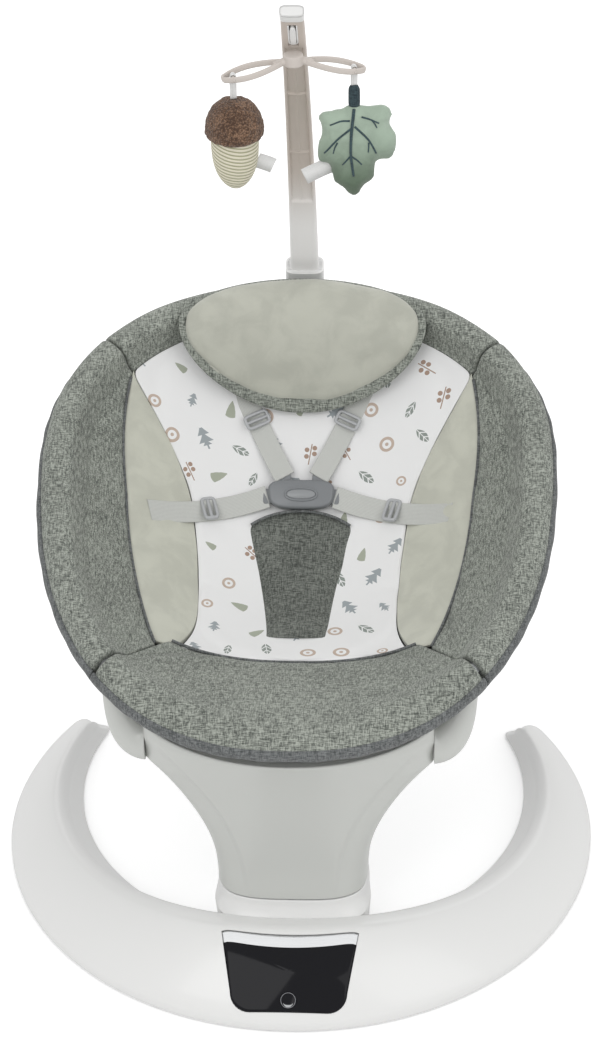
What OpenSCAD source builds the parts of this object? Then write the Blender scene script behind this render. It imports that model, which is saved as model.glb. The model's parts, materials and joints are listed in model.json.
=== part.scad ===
// Electric baby swing: C-shaped base, swaying pedestal, reclining ring seat
// with padded cover and harness, and a toy bar with two hanging toys.
// Millimetres, +Z up, -Y towards the control panel. The origin is on the
// floor, on the vertical axis that the pedestal sways about.

/* [Base] */
// Radius of the base's outer edge on the floor
base_r = 300; // [280:1:320]
// How far the outer edge's centre lies behind the sway axis
base_back = 140; // [130:1:150]
// Radius of the base's inner edge on the floor
inner_r = 233; // [225:1:240]
// How far the inner edge's centre lies behind the sway axis
inner_back = 205; // [198:1:210]
// Radius of the crest that runs along the base
crest_r = 255; // [248:1:260]
// How far the crest's centre lies behind the sway axis
crest_back = 170; // [165:1:176]
// Height of the crest in front of the pedestal
crest_front_h = 68; // [60:1:72]
// Height of the crest at the widest part
crest_side_h = 40; // [34:1:48]
// Height of the crest at the two tips
crest_tip_h = 31; // [26:1:36]
// Wall of the moulded shells
wall = 3; // [2:0.5:4]
// Thickness of the rubber feet
foot_h = 2.5; // [2:0.5:5]
// Height of the hub's top, just under the pedestal
hub_h = 76; // [72:1:84]

/* [Pedestal] */
// Width of the neck where it leaves the base
neck_w = 146; // [136:1:156]
// Front of the neck, ahead of the sway axis
neck_front = 58; // [54:1:62]
// Rear of the neck, behind the sway axis
neck_back = 50; // [46:1:54]
// Dark gap between the hub and the pedestal
neck_gap = 2; // [1.5:0.5:4]
// Width of the head between its two recline joints
head_w = 270; // [250:2:290]
// Front of the head, ahead of the sway axis
head_front = 92; // [86:1:96]
// Rear of the head, ahead of the sway axis
head_back = 8; // [4:1:10]
// Height of the head's upper rim on the centre line
head_h = 267; // [262:1:272]

/* [Recline] */
// Height of the recline axis
recline_z = 250; // [246:1:252]
// How far the recline axis lies ahead of the sway axis
recline_front = 27; // [25:1:30]
// Radius of the recline pins
recline_pin_r = 6; // [5:0.5:8]
// Radius of the round end face of each arm
arm_disc_r = 21; // [19:1:24]

/* [Drive] */
// Gear module of the sway drive
gear_module = 1; // [0.8:0.1:1.2]
// Teeth that a full wheel of the sector gear would have
sector_teeth = 84; // [78:2:88]
// Teeth of the motor pinion
pinion_teeth = 18; // [17:1:20]
// Height of the gears
gear_z = 36; // [32:1:40]
// Thickness of the gears
gear_t = 6; // [4:0.5:8]
// Radius of the upright sway shaft
shaft_r = 10; // [8:0.5:12]
// Outer radius of the two sway bearings
bearing_r = 18; // [16:0.5:20]
// Height of each sway bearing
bearing_h = 9; // [7:0.5:11]

/* [Seat] */
// Width of the seat over its cover
seat_w = 498; // [480:2:520]
// Distance from the front of the seat to its widest line
seat_front = 325; // [310:1:335]
// Distance from the widest line to the rear of the seat
seat_rear = 221; // [210:1:230]
// Tilt of the seat ring
seat_tilt = 22; // [18:1:24]
// Height of the ring plane at the front edge of the seat
seat_front_z = 290; // [288:1:296]
// How far the front edge of the seat lies ahead of the sway axis
seat_front_y = 103; // [98:1:106]
// Depth of the seat hollow
seat_depth = 136; // [120:2:145]
// Radius of the steel ring tube
tube_r = 8; // [6:0.5:9]
// Distance from the cover's outer edge to the ring tube's centre line
tube_inset = 17; // [15:1:22]
// Thickness of the padded border panels
panel_t = 9; // [7:0.5:11]
// Thickness of the sling under the pads
sling_t = 3; // [2:0.5:4]
// Thickness of the seat insert
insert_t = 9; // [7:0.5:10]

/* [Harness] */
// Width of the shoulder and waist webbing
strap_w = 21; // [18:1:25]
// Thickness of the webbing
strap_t = 1.6; // [1.2:0.2:2.4]
// Width of the buckle
buckle_w = 66; // [60:1:72]
// Height of the buckle
buckle_l = 30; // [26:1:34]
// Thickness of the buckle
buckle_t = 12; // [10:0.5:14]
// Width of the release button
release_w = 29; // [24:1:32]
// Height of the release button
release_l = 10; // [8:0.5:12]

/* [Toy bar] */
// Width of the toy bar at its foot
bar_w = 29; // [26:1:32]
// Width of the toy bar at its top
bar_top_w = 21; // [18:1:24]
// Depth of the toy bar at its foot
bar_d = 17; // [14:1:20]
// Depth of the toy bar at its top
bar_top_d = 10; // [8:1:12]
// Lean of the toy bar at its foot
bar_lean = 14; // [10:1:16]
// Lean of the toy bar at its top
bar_top_lean = 38; // [34:1:42]
// Bending radius of the toy bar
bar_r = 980; // [960:1:1010]
// Length of each hanger loop
loop_l = 62; // [56:1:66]
// Width of each hanger loop
loop_w = 27; // [22:1:30]
// Droop of the hanger loops
loop_droop = 15; // [10:1:18]

/* [Hidden] */
$fn = 64;

// Small clearance between pieces that do not touch
gap = 0.3;
// Running clearance of pins in bores
run = 0.05;
floor_z = foot_h;
cover_t = 3;
plastic = "whitesmoke";
fabric = "dimgray";

// ---- shared geometry -------------------------------------------------

// Point of an upright superellipse of half-sizes a and b and exponent n
function oval(t, a, b, n) =
    [a * sign(sin(t)) * pow(abs(sin(t)), 2 / n), -b * sign(cos(t)) * pow(abs(cos(t)), 2 / n)];

// Triangles that close a ring of n points from point b on, paired across it
function lid(n, b, flip) = [for (k = [0:n / 2 - 2]) let (p = b + k, q = b + n - 1 - k)
    each flip ? [[p, q, p + 1], [p + 1, q, q - 1]] : [[p, p + 1, q], [p + 1, q - 1, q]]];

// Skin through rings of an equal, even number of points, closed by flat ends
module skin(rings) {
    n = len(rings[0]);
    m = len(rings);
    polyhedron(
        points = [for (ring = rings) each ring],
        faces = concat(
            lid(n, 0, false),
            [for (i = [0:m - 2]) for (j = [0:n - 1]) let (k = (j + 1) % n)
                each [[i * n + j, (i + 1) * n + j, i * n + k],
                      [i * n + k, (i + 1) * n + j, (i + 1) * n + k]]],
            lid(n, (m - 1) * n, true)));
}

// ---- base ------------------------------------------------------------

crest_tip_a = 115;
outer_tip_a = 124;
inner_tip_a = 114;
base_steps = 56;
slope_steps = 9;
slope_power = 1.25;

// Point in plan at angle a from the front, on a circle set back by y
function around(a, r, y) = [r * sin(a), y - r * cos(a)];

// Height of the crest at angle a: high at the pedestal, low at the tips
function crest_h(a) = let (f = abs(a) / crest_tip_a)
    crest_side_h + (crest_front_h - crest_side_h) * pow(max(0, cos(1.05 * a)), 3)
    - (crest_side_h - crest_tip_h) * pow(f, 4);

// Section of the base at share s of the way from tip to tip, inset by e
function base_ring(s, e) = let (
    ends = 1 - e / 330,
    out = around(s * outer_tip_a * ends, base_r - e, base_back),
    top = around(s * crest_tip_a * ends, crest_r, crest_back),
    inn = around(s * inner_tip_a * ends, inner_r + e, inner_back),
    h = crest_h(s * crest_tip_a) - e,
    z0 = e > 0 ? floor_z - 1 : floor_z,
    lip = floor_z + 5)
    concat(
        [[out[0], out[1], z0]],
        [for (i = [0:slope_steps]) let (u = i / slope_steps, v = pow(1 - pow(1 - u, slope_power), 1 / slope_power),
            p = out + (top - out) * (0.94 * u)) [p[0], p[1], lip + (h - lip) * v]],
        [let (p = top + (inn - top) * 0.16) [p[0], p[1], h - 2.5]],
        [let (p = top + (inn - top) * 0.45) [p[0], p[1], h - 12]],
        [[inn[0], inn[1], z0]]);

module base_form(e) {
    skin([for (i = [-base_steps / 2:base_steps / 2]) base_ring(-2 * i / base_steps, e)]);
}

// Footprint of the neck, with a gently bowed front and rear
neck_mid = (neck_back - neck_front) / 2;
neck_half = (neck_back + neck_front) / 2;
module neck_plan(e) {
    polygon([for (i = [0:63]) let (p = oval(i * 360 / 64, neck_w / 2 - e, neck_half - e, 3.4)) [p[0], p[1] + neck_mid]]);
}

hub_skirt = 5;
module hub_form(e) {
    translate([0, 0, e > 0 ? floor_z - 1 : floor_z])
        linear_extrude(hub_h - floor_z - (e > 0 ? e - 1 : 0)) neck_plan(e);
}

panel_top_y = -101;
panel_foot_y = -151;
panel_top_z = 52;
panel_foot_z = 17;
panel_slope = atan2(panel_top_z - panel_foot_z, panel_top_y - panel_foot_y);
panel_len = 61;
panel_w = 132;
panel_foot_w = 92;
panel_round = 14;
lens_t = 2;
button_r = 7.5;
button_up = 12;
button_travel = 1;

// Frame of the sloping control panel: x across, y up the slope, z outwards
module on_panel() {
    translate([0, panel_foot_y, panel_foot_z]) rotate([panel_slope, 0, 0]) children();
}

// Outline of the control panel, with a bowed top edge and round lower corners
module panel_plan(e, top) {
    half = (panel_foot_w + (panel_w - panel_foot_w) * (top - panel_round) / (panel_len - panel_round)) / 2;
    polygon(concat(
        [for (a = [0:15:90]) [panel_foot_w / 2 - panel_round + (panel_round - e) * sin(a),
            panel_round - (panel_round - e) * cos(a)]],
        [for (i = [0:12]) let (f = 1 - i / 6) [f * (half - e), top - e - 5 * (1 - f * f)]],
        [for (a = [90:-15:0]) [-panel_foot_w / 2 + panel_round - (panel_round - e) * sin(a),
            panel_round - (panel_round - e) * cos(a)]]));
}

panel_lift = 4;
module base_shell() {
    color(plastic) difference() {
        union() {
            base_form(0);
            hub_form(0);
        }
        base_form(wall);
        hub_form(wall);
        // way in for the sway shaft
        translate([0, 0, hub_h - 2 * wall]) cylinder(r = shaft_r + 12, h = 4 * wall);
        // window for the lens and its trim
        on_panel() translate([0, 0, -30]) linear_extrude(60) panel_plan(0, panel_len);
        // hole for the power inlet
        translate([inlet_x, neck_back - 3 * wall, inlet_z]) rotate([-90, 0, 0]) cylinder(r = inlet_r + gap, h = 6 * wall);
    }
}

inlet_x = 30;
inlet_z = 22;
inlet_r = 6;
inlet_bore = 3;
inlet_depth = 10;
inlet_len = 16;
// power inlet: a round jack in the rear wall of the hub
inlet_face = 47;
module dc_inlet() {
    color("dimgray") translate([inlet_x, inlet_face, inlet_z]) rotate([90, 0, 0]) difference() {
        cylinder(r = inlet_r, h = inlet_len);
        translate([0, 0, -1]) cylinder(r = inlet_bore, h = inlet_depth + 1);
    }
}

// The shell's inner wall leans in above the floor, so the cover stays clear of it
cover_relief = 3.2;
// Plan of the base inside its shell, shared by the cover and its screws
module base_plan(e) {
    polygon(concat(
        [for (i = [-28:28]) let (p = base_ring(-i / 28, e)[0]) [p[0], p[1]]],
        [for (i = [28:-1:-28]) let (r = base_ring(-i / 28, e + cover_relief), p = r[len(r) - 1]) [p[0], p[1]]]));
}

screw_r = 2;
screw_head_r = 3.6;
screw_l = 12;
// Angles of the cover screws and of the feet along the base
screw_angles = [-100, -72, -36, 36, 72, 100];
foot_angles = [-106, -60, -22, 22, 60, 106];
foot_r = 11;
centre_foot_r = 20;
track_r = base_r - 38;
track_back = base_back + 32;
module along_base(angles) {
    for (a = angles) translate([track_r * sin(a), track_back - track_r * cos(a), 0]) children();
}

module base_bottom_cover() {
    color(plastic) difference() {
        translate([0, 0, floor_z]) linear_extrude(cover_t) {
            base_plan(wall + gap);
            neck_plan(wall + gap);
        }
        along_base(screw_angles) translate([0, 0, floor_z - 1]) cylinder(r = screw_r + 0.2, h = cover_t + 2);
    }
}

module rubber_feet() {
    color("gray") {
        cylinder(r = centre_foot_r, h = foot_h);
        along_base(foot_angles) cylinder(r = foot_r, h = foot_h);
    }
}

// screws that hold the cover; their heads sit just under it
module cover_screws() {
    color("silver") along_base(screw_angles) {
        translate([0, 0, floor_z - 1.6]) cylinder(r = screw_head_r, h = 1.6);
        translate([0, 0, floor_z - 0.1]) cylinder(r = screw_r, h = screw_l);
    }
}

// glossy lens of the control panel, below a crescent of bright trim
trim_h = 11;
module control_lens() {
    color([0.03, 0.03, 0.04]) on_panel() difference() {
        translate([0, 0, panel_lift]) linear_extrude(lens_t) panel_plan(gap, panel_len - trim_h);
        translate([0, button_up, 0]) cylinder(r = button_r + gap, h = 20);
    }
}

module panel_trim() {
    color("silver") on_panel() translate([0, 0, panel_lift - 1]) linear_extrude(lens_t) difference() {
        panel_plan(gap, panel_len);
        translate([0, -2 * gap]) panel_plan(-1, panel_len - trim_h + gap);
    }
}

module power_button() {
    color([0.08, 0.08, 0.09]) on_panel() translate([0, button_up, panel_lift - 2]) cylinder(r = button_r, h = lens_t + 2.4);
}

board_t = 1.6;
board_drop = 6;
module control_board() {
    color("darkgreen") on_panel() {
        translate([-35, 6, panel_lift - board_drop]) cube([70, 36, board_t]);
        for (x = [-30, 30], y = [22, 36]) translate([x, y, panel_lift - board_drop + board_t])
            cylinder(r = 2, h = board_drop - board_t - gap);
    }
}

speaker_r = 22;
speaker_h = 14;
speaker_a = 21;
module speaker() {
    color("black") translate([track_r * sin(speaker_a), track_back - track_r * cos(speaker_a), floor_z + cover_t]) {
        cylinder(r1 = speaker_r * 0.6, r2 = speaker_r * 0.8, h = speaker_h);
    }
}

// ---- sway drive --------------------------------------------------------

pressure_angle = 20;
backlash = 0.2;
gear_gap = gear_module * (sector_teeth + pinion_teeth) / 2;
sector_span = 7;

function roll(r, rb) = let (a = acos(min(1, rb / r))) tan(a) * 180 / PI - a;
// Half angle of a tooth at radius r of a wheel with n teeth
function tooth_half(r, n) = let (rp = gear_module * n / 2, rb = rp * cos(pressure_angle))
    90 / n - backlash / rp * 45 / PI + roll(rp, rb) - roll(max(r, rb), rb);
function polar(r, a) = [r * cos(a), r * sin(a)];
// Outline of one tooth of a wheel with n teeth, centred on angle c
function tooth(n, c) = let (rp = gear_module * n / 2, rf = rp - 1.25 * gear_module,
    rb = max(rf, rp * cos(pressure_angle)), ra = rp + 0.95 * gear_module)
    concat(
        [polar(rf, c - tooth_half(rb, n))],
        [for (i = [0:4]) let (r = rb + (ra - rb) * i / 4) polar(r, c - tooth_half(r, n))],
        [for (i = [4:-1:0]) let (r = rb + (ra - rb) * i / 4) polar(r, c + tooth_half(r, n))],
        [polar(rf, c + tooth_half(rb, n))]);

hub_r = 18;
module sector_gear() {
    color("ivory") translate([0, 0, gear_z]) difference() {
        union() {
            linear_extrude(gear_t) polygon(concat([[0, 0]],
                [for (k = [-sector_span:sector_span]) each tooth(sector_teeth, -90 + k * 360 / sector_teeth)]));
            cylinder(r = hub_r, h = gear_t);
        }
        translate([0, 0, -1]) cylinder(r = shaft_r + run, h = gear_t + 2);
    }
}

pinion_shaft_r = 3;
motor_r = 15;
motor_h = 24;
motor_z = 8;
module drive_pinion() {
    color("gold") translate([0, -gear_gap, 0]) {
        translate([0, 0, gear_z - 1]) linear_extrude(gear_t + 2) polygon([for (k = [0:pinion_teeth - 1])
            each tooth(pinion_teeth, 90 + (k + 0.5) * 360 / pinion_teeth)]);
        translate([0, 0, motor_z + 6]) cylinder(r = pinion_shaft_r, h = gear_z - motor_z - 6);
    }
}

// geared motor, standing on the bottom cover
module drive_motor() {
    color("silver") translate([0, -gear_gap, floor_z + cover_t]) difference() {
        union() {
            cylinder(r = motor_r, h = gear_z - 3 - floor_z - cover_t);
            translate([-24, -5, 0]) cube([48, 10, 3]);
        }
        translate([0, 0, 4]) cylinder(r = pinion_shaft_r + run, h = gear_z);
    }
}

shaft_foot = 9;
flange_r = 32;
flange_t = 6;
shaft_top = hub_h + neck_gap + 6;
module sway_shaft() {
    color("silver") {
        translate([0, 0, shaft_foot]) cylinder(r = shaft_r, h = shaft_top - shaft_foot);
        translate([0, 0, shaft_top]) cylinder(r = flange_r, h = flange_t);
    }
}

module bearing(z) {
    translate([0, 0, z]) difference() {
        cylinder(r = bearing_r, h = bearing_h);
        translate([0, 0, -1]) cylinder(r = shaft_r + run, h = bearing_h + 2);
    }
}

lower_bearing_z = 11;
upper_bearing_z = 56;
module lower_bearing() {
    color("silver") bearing(lower_bearing_z);
}
module upper_bearing() {
    color("silver") bearing(upper_bearing_z);
}

bridge_t = 6;
bridge_x = 58;
post_r = 6;
// bearing carrier: a foot that holds the lower bearing, four posts and a top plate
module bearing_bridge() {
    z0 = floor_z + cover_t;
    color("slategray") difference() {
        union() {
            translate([0, 0, z0]) cylinder(r = bearing_r + 5, h = lower_bearing_z + bearing_h - z0);
            translate([-bridge_x, 4, z0]) cube([2 * bridge_x, 12, 3]);
            translate([-bridge_x - 6, -16, upper_bearing_z]) cube([2 * bridge_x + 12, 44, bridge_t]);
            translate([0, 0, upper_bearing_z]) cylinder(r = bearing_r + 5, h = bearing_h);
            for (x = [-bridge_x, bridge_x]) translate([x, 10, z0]) cylinder(r = post_r, h = upper_bearing_z - z0);
        }
        translate([0, 0, lower_bearing_z]) cylinder(r = bearing_r + run, h = 30);
        translate([0, 0, upper_bearing_z - 1]) cylinder(r = bearing_r + run, h = bearing_h + 3);
        translate([0, 0, 0]) cylinder(r = shaft_r + 1, h = lower_bearing_z + 1);
    }
}

// ---- pedestal ----------------------------------------------------------

pedestal_z = hub_h + neck_gap;
head_top = 300;
flare_a = 24;
pedestal_steps = 14;
// Share of the flare at height z: none at the neck, full at the recline joints
function flare(z) = let (f = min(1, max(0, (z - pedestal_z) / (234 - pedestal_z)))) 0.08 * f + 0.92 * pow(f, 2.7);
// Half width, front and rear of the pedestal at height z
function half_w(z) = neck_w / 2 + (head_w / 2 + 4 - neck_w / 2) * flare(z);
function front_y(z) = let (f = max(0, min(1, (z - pedestal_z) / (head_h - pedestal_z)))) -neck_front - (head_front - neck_front) * pow(f, 1.9);
function back_y(z) = let (f = max(0, min(1, (z - pedestal_z) / (200 - pedestal_z)))) neck_back - (neck_back + head_back) * (0.5 - 0.5 * cos(180 * f));
// The rim runs back towards its ends, along the front of the seat
function rim_bow(z) = 26 * flare(z);

function pedestal_ring(z, e) = let (a = half_w(z) - e, m = (front_y(z) + back_y(z)) / 2, b = (back_y(z) - front_y(z)) / 2 - e)
    [for (i = [0:35]) let (p = oval(i * 10, a, b, 3.4)) [p[0], p[1] + m + rim_bow(z) * pow(p[0] / a, 2), z]];

saddle_r = 560;
module pedestal_form(e) {
    z0 = e > 0 ? pedestal_z - 1 : pedestal_z;
    difference() {
        skin([for (i = [0:pedestal_steps]) pedestal_ring(z0 + (head_top - e - z0) * i / pedestal_steps, e)]);
        // saddle that the rim follows, and the two flat recline joints
        translate([0, 100, head_h - e + saddle_r]) rotate([90, 0, 0]) cylinder(r = saddle_r, h = 300, $fn = 200);
        for (s = [-1, 1]) translate([s * (head_w / 2 - e + 50), 0, 200]) cube([100, 300, 300], center = true);
    }
}

module pedestal_shell() {
    difference() {
        pedestal_form(0);
        pedestal_form(wall);
        translate([-head_w, -recline_front, recline_z]) rotate([0, 90, 0]) cylinder(r = recline_pin_r + run, h = 2 * head_w);
    }
}

split_y = -20;
module front_half(e) {
    translate([-200, split_y - 200 - e, 0]) cube([400, 200, 400]);
}

module pedestal_front_shell() {
    color(plastic) intersection() {
        pedestal_shell();
        front_half(0);
    }
}

module pedestal_rear_shell() {
    color(plastic) difference() {
        pedestal_shell();
        front_half(-gap);
    }
}

recline_tube_r = 10;
disc_t = 7;
recline_tube_l = head_w - 2 * (wall + disc_t);
post_tube_r = 14;
foot_plate_t = 4;
// steel post from the shaft's flange up to the recline tube
module pedestal_post() {
    z0 = shaft_top + flange_t;
    color("slategray") {
        translate([0, 0, z0]) cylinder(r = flange_r, h = foot_plate_t);
        skin([for (i = [0:8]) let (f = i / 8, y = -recline_front * (0.5 - 0.5 * cos(180 * min(1, f / 0.7))))
            [for (k = [0:23]) [post_tube_r * sin(k * 15), y - post_tube_r * cos(k * 15),
                z0 + foot_plate_t + (recline_z - recline_tube_r - 1 - z0 - foot_plate_t) * f]]]);
        translate([0, -recline_front, recline_z]) rotate([0, 90, 0]) difference() {
            cylinder(r = recline_tube_r + 3, h = 44, center = true);
            cylinder(r = recline_tube_r + run, h = 50, center = true);
        }
    }
}

module recline_tube() {
    color("silver") translate([0, -recline_front, recline_z]) rotate([0, 90, 0]) difference() {
        cylinder(r = recline_tube_r, h = recline_tube_l, center = true);
        cylinder(r = recline_pin_r + run, h = recline_tube_l + 2, center = true);
    }
}

friction_r = 13;
// friction discs that hold the recline, inside the head against its end walls
module friction_discs() {
    color("dimgray") for (s = [-1, 1])
        translate([s * (recline_tube_l / 2 + disc_t / 2), -recline_front, recline_z])
            rotate([0, 90, 0]) difference() {
                cylinder(r = friction_r, h = disc_t - gap, center = true);
                cylinder(r = recline_pin_r + run, h = 2 * disc_t, center = true);
            }
}

// ---- seat surface --------------------------------------------------------

front_power = 2.32;
rear_power = 2.3;
// Outline of the seat in its ring plane, inset by e; t is 0 at the front
function rim(t, e) = let (s = sin(t), c = cos(t), n = c > 0 ? front_power : rear_power, b = (c > 0 ? seat_front : seat_rear) - e)
    [(seat_w / 2 - e) * sign(s) * pow(abs(s), 2 / n), seat_front - b * sign(c) * pow(abs(c), 2 / n)];
// Place in the row frame of a point x across, u up and w above the ring plane
function seat(x, u, w) = [x, -seat_front_y + u * cos(seat_tilt) - w * sin(seat_tilt),
    seat_front_z + u * sin(seat_tilt) + w * cos(seat_tilt)];
module in_seat(x, u, w) {
    translate(seat(x, u, w)) rotate([seat_tilt, 0, 0]) children();
}

deep_u = 265;
front_reach = 255;
rear_reach = 276;
rim_w = 7;
// Depth of the hollow on the centre line at distance u
function depth(u) = let (f = min(1, abs(u - deep_u) / (u < deep_u ? front_reach : rear_reach)))
    seat_depth * pow(0.5 + 0.5 * cos(180 * f), u < deep_u ? 0.8 : 0.5);
// Half width of the hollow at distance u
function half_at(u) = let (n = u < seat_front ? front_power : rear_power, b = (u < seat_front ? seat_front : seat_rear) - 10,
    f = min(1, abs(u - seat_front) / b)) (seat_w / 2 - 10) * pow(max(0.0001, 1 - pow(f, n)), 1 / n);
// Height of the finished seat surface over the ring plane
function dish(x, u) = rim_w - depth(u) * (1 - pow(min(1, abs(x) / half_at(u)), 2.4));

// Point at angle t and share k of the way from the middle to the rim
function pad_point(t, k, e, lift) = let (p = rim(t, e), x = k * p[0], u = seat_front + k * (p[1] - seat_front))
    seat(x, u, dish(x, u) + lift);
// Inner edge of the border panels, as a share of the rim
function side_edge(t) = let (a = abs(t)) a > 70 ? 0.67 + 0.18 * pow((a - 70) / 59, 2) : 0.67 + 0.05 * pow((70 - a) / 26, 2);
function front_edge(t) = 0.55 + 0.11 * pow(t / front_seam, 2);
front_seam = 44;
rear_seam = 129;
top_edge = 0.85;

tube_fit = 0.4;
// Padding over the top of the ring tube
crown = 7;
// Section of a border panel at angle t: over the tube, down its outside and
// into the hollow as far as share k of the rim
function border_ring(t, k, steps) = let (o = rim(t, 0), c = rim(t, tube_inset), d = (o - c) / norm(o - c), r = tube_r + tube_fit)
    concat(
        [for (a = [-60:20:140]) let (q = c + d * tube_inset * cos(a)) seat(q[0], q[1], (r + crown) * sin(a))],
        [for (j = [1:steps]) let (s = 0.86 + (k - 0.86) * j / steps) pad_point(t, s, 0, 0)],
        [for (j = [steps:-1:1]) let (s = 0.86 + (k - 0.86) * j / steps) pad_point(t, s, 0, -panel_t)],
        [for (a = [150:-20:-60]) let (q = c + d * r * cos(a)) seat(q[0], q[1], r * sin(a))]);

module border(t0, t1, edges) {
    n = len(edges) - 1;
    skin([for (i = [n:-1:0]) border_ring(t0 + (t1 - t0) * i / n, edges[i], 5)]);
}

// ---- seat pieces -----------------------------------------------------------

tube_steps = 64;
// Half of the small gap where the two halves of the tube meet, in degrees
tube_joint = 0.05;
// Tube of radius r along one side of the ring, from angle t0 to t1
module ring_part(s, r, t0, t1, n, sides = 10) {
    skin([for (i = [0:n]) let (t = s * (t0 + i * (t1 - t0) / n), c = rim(t, tube_inset), o = rim(t, 0), d = (o - c) / norm(o - c))
        [for (k = [0:sides - 1]) let (a = -s * k * 360 / sides) seat(c[0] + d[0] * r * cos(a), c[1] + d[1] * r * cos(a), r * sin(a))]]);
}

// ring tube, in two bent halves that meet at the front and the rear
module seat_tube() {
    color("silver") for (s = [-1, 1]) ring_part(s, tube_r, tube_joint, 180 - tube_joint, tube_steps / 2);
}

arm_t = 45;
arm_sides = 32;
// Bezier of an arm: from the recline joint out, and up to the ring tube
arm_from = [head_w / 2 + gap, -recline_front, recline_z];
arm_bend = [head_w / 2 + 26, -recline_front, recline_z];
// The arm meets the tube a little inside its centre line, clear of the cover's lip
arm_inset = 4;
arm_rim = rim(arm_t, tube_inset + arm_inset);
arm_to = seat(arm_rim[0], arm_rim[1], -3);
function arm_path(f) = arm_from * pow(1 - f, 2) + arm_bend * 2 * f * (1 - f) + arm_to * f * f;
function arm_dir(f) = let (q = (arm_bend - arm_from) * (1 - f) + (arm_to - arm_bend) * f) q / norm([q[0], q[2]]);
function arm_radius(f) = arm_disc_r - 5 * f - (arm_disc_r - 11) * pow(f, 1.7);
module arm(s) {
    color(plastic) difference() {
        union() {
            skin([for (i = [0:12]) let (p = arm_path(i / 12), q = arm_dir(i / 12), r = arm_radius(i / 12))
                [for (k = [0:arm_sides - 1]) let (a = -s * k * 360 / arm_sides)
                    [s * (p[0] - q[2] * r * cos(a)), p[1] + r * sin(a), p[2] + q[0] * r * cos(a)]]]);
            translate([s * (head_w / 2 + gap + 1), -recline_front, recline_z]) rotate([0, -s * 90, 0])
                cylinder(r = recline_pin_r, h = pin_reach);
        }
        ring_part(s, tube_r + tube_fit, arm_t - 12, arm_t + 12, 5);
    }
}
// How far the recline pin reaches into the head
pin_reach = 34;
module arm_left() {
    arm(-1);
}
module arm_right() {
    arm(1);
}

seam_gap = 0.5;
panel_steps = 18;
module side_panel(s) {
    ts = steps(s * (front_seam + seam_gap), s * (rear_seam - seam_gap), panel_steps);
    es = [for (t = ts) side_edge(t)];
    color(fabric) border(min(ts[0], ts[panel_steps]), max(ts[0], ts[panel_steps]), s < 0 ? flipped(es) : es);
}
module side_panel_left() {
    side_panel(-1);
}
module side_panel_right() {
    side_panel(1);
}

module front_panel() {
    color(fabric) border(-front_seam, front_seam, [for (t = steps(-front_seam, front_seam, panel_steps)) front_edge(t)]);
}
module top_panel() {
    color(fabric) border(rear_seam, 360 - rear_seam, [for (i = [0:panel_steps]) top_edge]);
}

// Pad on the seat surface, row by row: row i lies at us[i] and runs across
// from lo[i] to hi[i]; top and foot are heights over the surface
module rows(us, lo, hi, top, foot, nj = 10) {
    skin([for (i = [len(us) - 1:-1:0]) let (u = us[i], d = (hi[i] - lo[i]) / nj)
        concat([for (j = [nj:-1:0]) let (x = lo[i] + d * j) seat(x, u, dish(x, u) + top)],
               [for (j = [0:nj]) let (x = lo[i] + d * j) seat(x, u, dish(x, u) + foot)])]);
}
// A list in the opposite order
function flipped(v) = [for (i = [len(v) - 1:-1:0]) v[i]];
function steps(a, b, n) = [for (i = [0:n]) a + (b - a) * i / n];
// Half width at distance u of the seat outline scaled by f about its widest line
function scaled_half(u, f) = let (b = u < seat_front ? seat_front : seat_rear, n = u < seat_front ? front_power : rear_power)
    f * seat_w / 2 * pow(1 - pow(min(0.999, abs(u - seat_front) / b / f), n), 1 / n);

sling_share = 0.84;
// Space between the pads and the sling, which hangs a little slack
sling_gap = 1.5;
// sling under the pads, hung inside the ring tube
module seat_sling() {
    us = steps(seat_front - sling_share * seat_front + 1, seat_front + sling_share * seat_rear - 1, 22);
    hs = [for (u = us) max(12, scaled_half(u, sling_share))];
    color("gray") rows(us, -hs, hs, -panel_t - sling_gap, -panel_t - sling_gap - sling_t, 14);
}

insert_u0 = 163;
insert_u1 = 500;
wing_u0 = 176;
wing_u1 = 430;
insert_share = 0.68;
// Half width of the printed centre at distance u, wider at both ends
function centre_half(u) = min(scaled_half(u, insert_share),
    98 + 44 * pow(max(0, (u - 215) / 250), 2) + 18 * pow(max(0, (215 - u) / 60), 2));
// Half width of the whole insert at distance u
function wing_half(u) = scaled_half(u, u < 340 ? 0.655 : 0.655 + 0.11 * (u - 340) / 106);

module insert_centre() {
    us = steps(insert_u0, insert_u1, 16);
    hs = [for (u = us) centre_half(u)];
    color("white") rows(us, -hs, hs, 0, -insert_t, 12);
}

module insert_wing(s) {
    us = steps(wing_u0, wing_u1, 16);
    near = [for (u = us) centre_half(u) + 2 * seam_gap];
    far = [for (i = [0:16]) max(near[i] + 3, wing_half(us[i]))];
    color("lightgray") rows(us, s < 0 ? -far : near, s < 0 ? -near : far, 0, -insert_t, 6);
}
module insert_wing_left() {
    insert_wing(-1);
}
module insert_wing_right() {
    insert_wing(1);
}

pillow_a = 124;
pillow_b = 56;
pillow_u = 486;
pillow_t = 24;
pillow_rows = 14;
pillow_slope = 0.87;
// Share of the outline that a point in the rear half of the seat lies on
function share_at(x, u) = pow(pow(abs(x) * 2 / seat_w, rear_power) + pow(max(0, u - seat_front) / seat_rear, rear_power), 1 / rear_power);
// Underside of the pillow: on the back of the seat, then up over the padded rim
function pillow_bed(x, u) = max(dish(x, u) + 1,
    tube_r + crown + 0.9 - pillow_slope * max(0, (1 - share_at(x, u)) * seat_rear - 1.8 * tube_inset));
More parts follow.
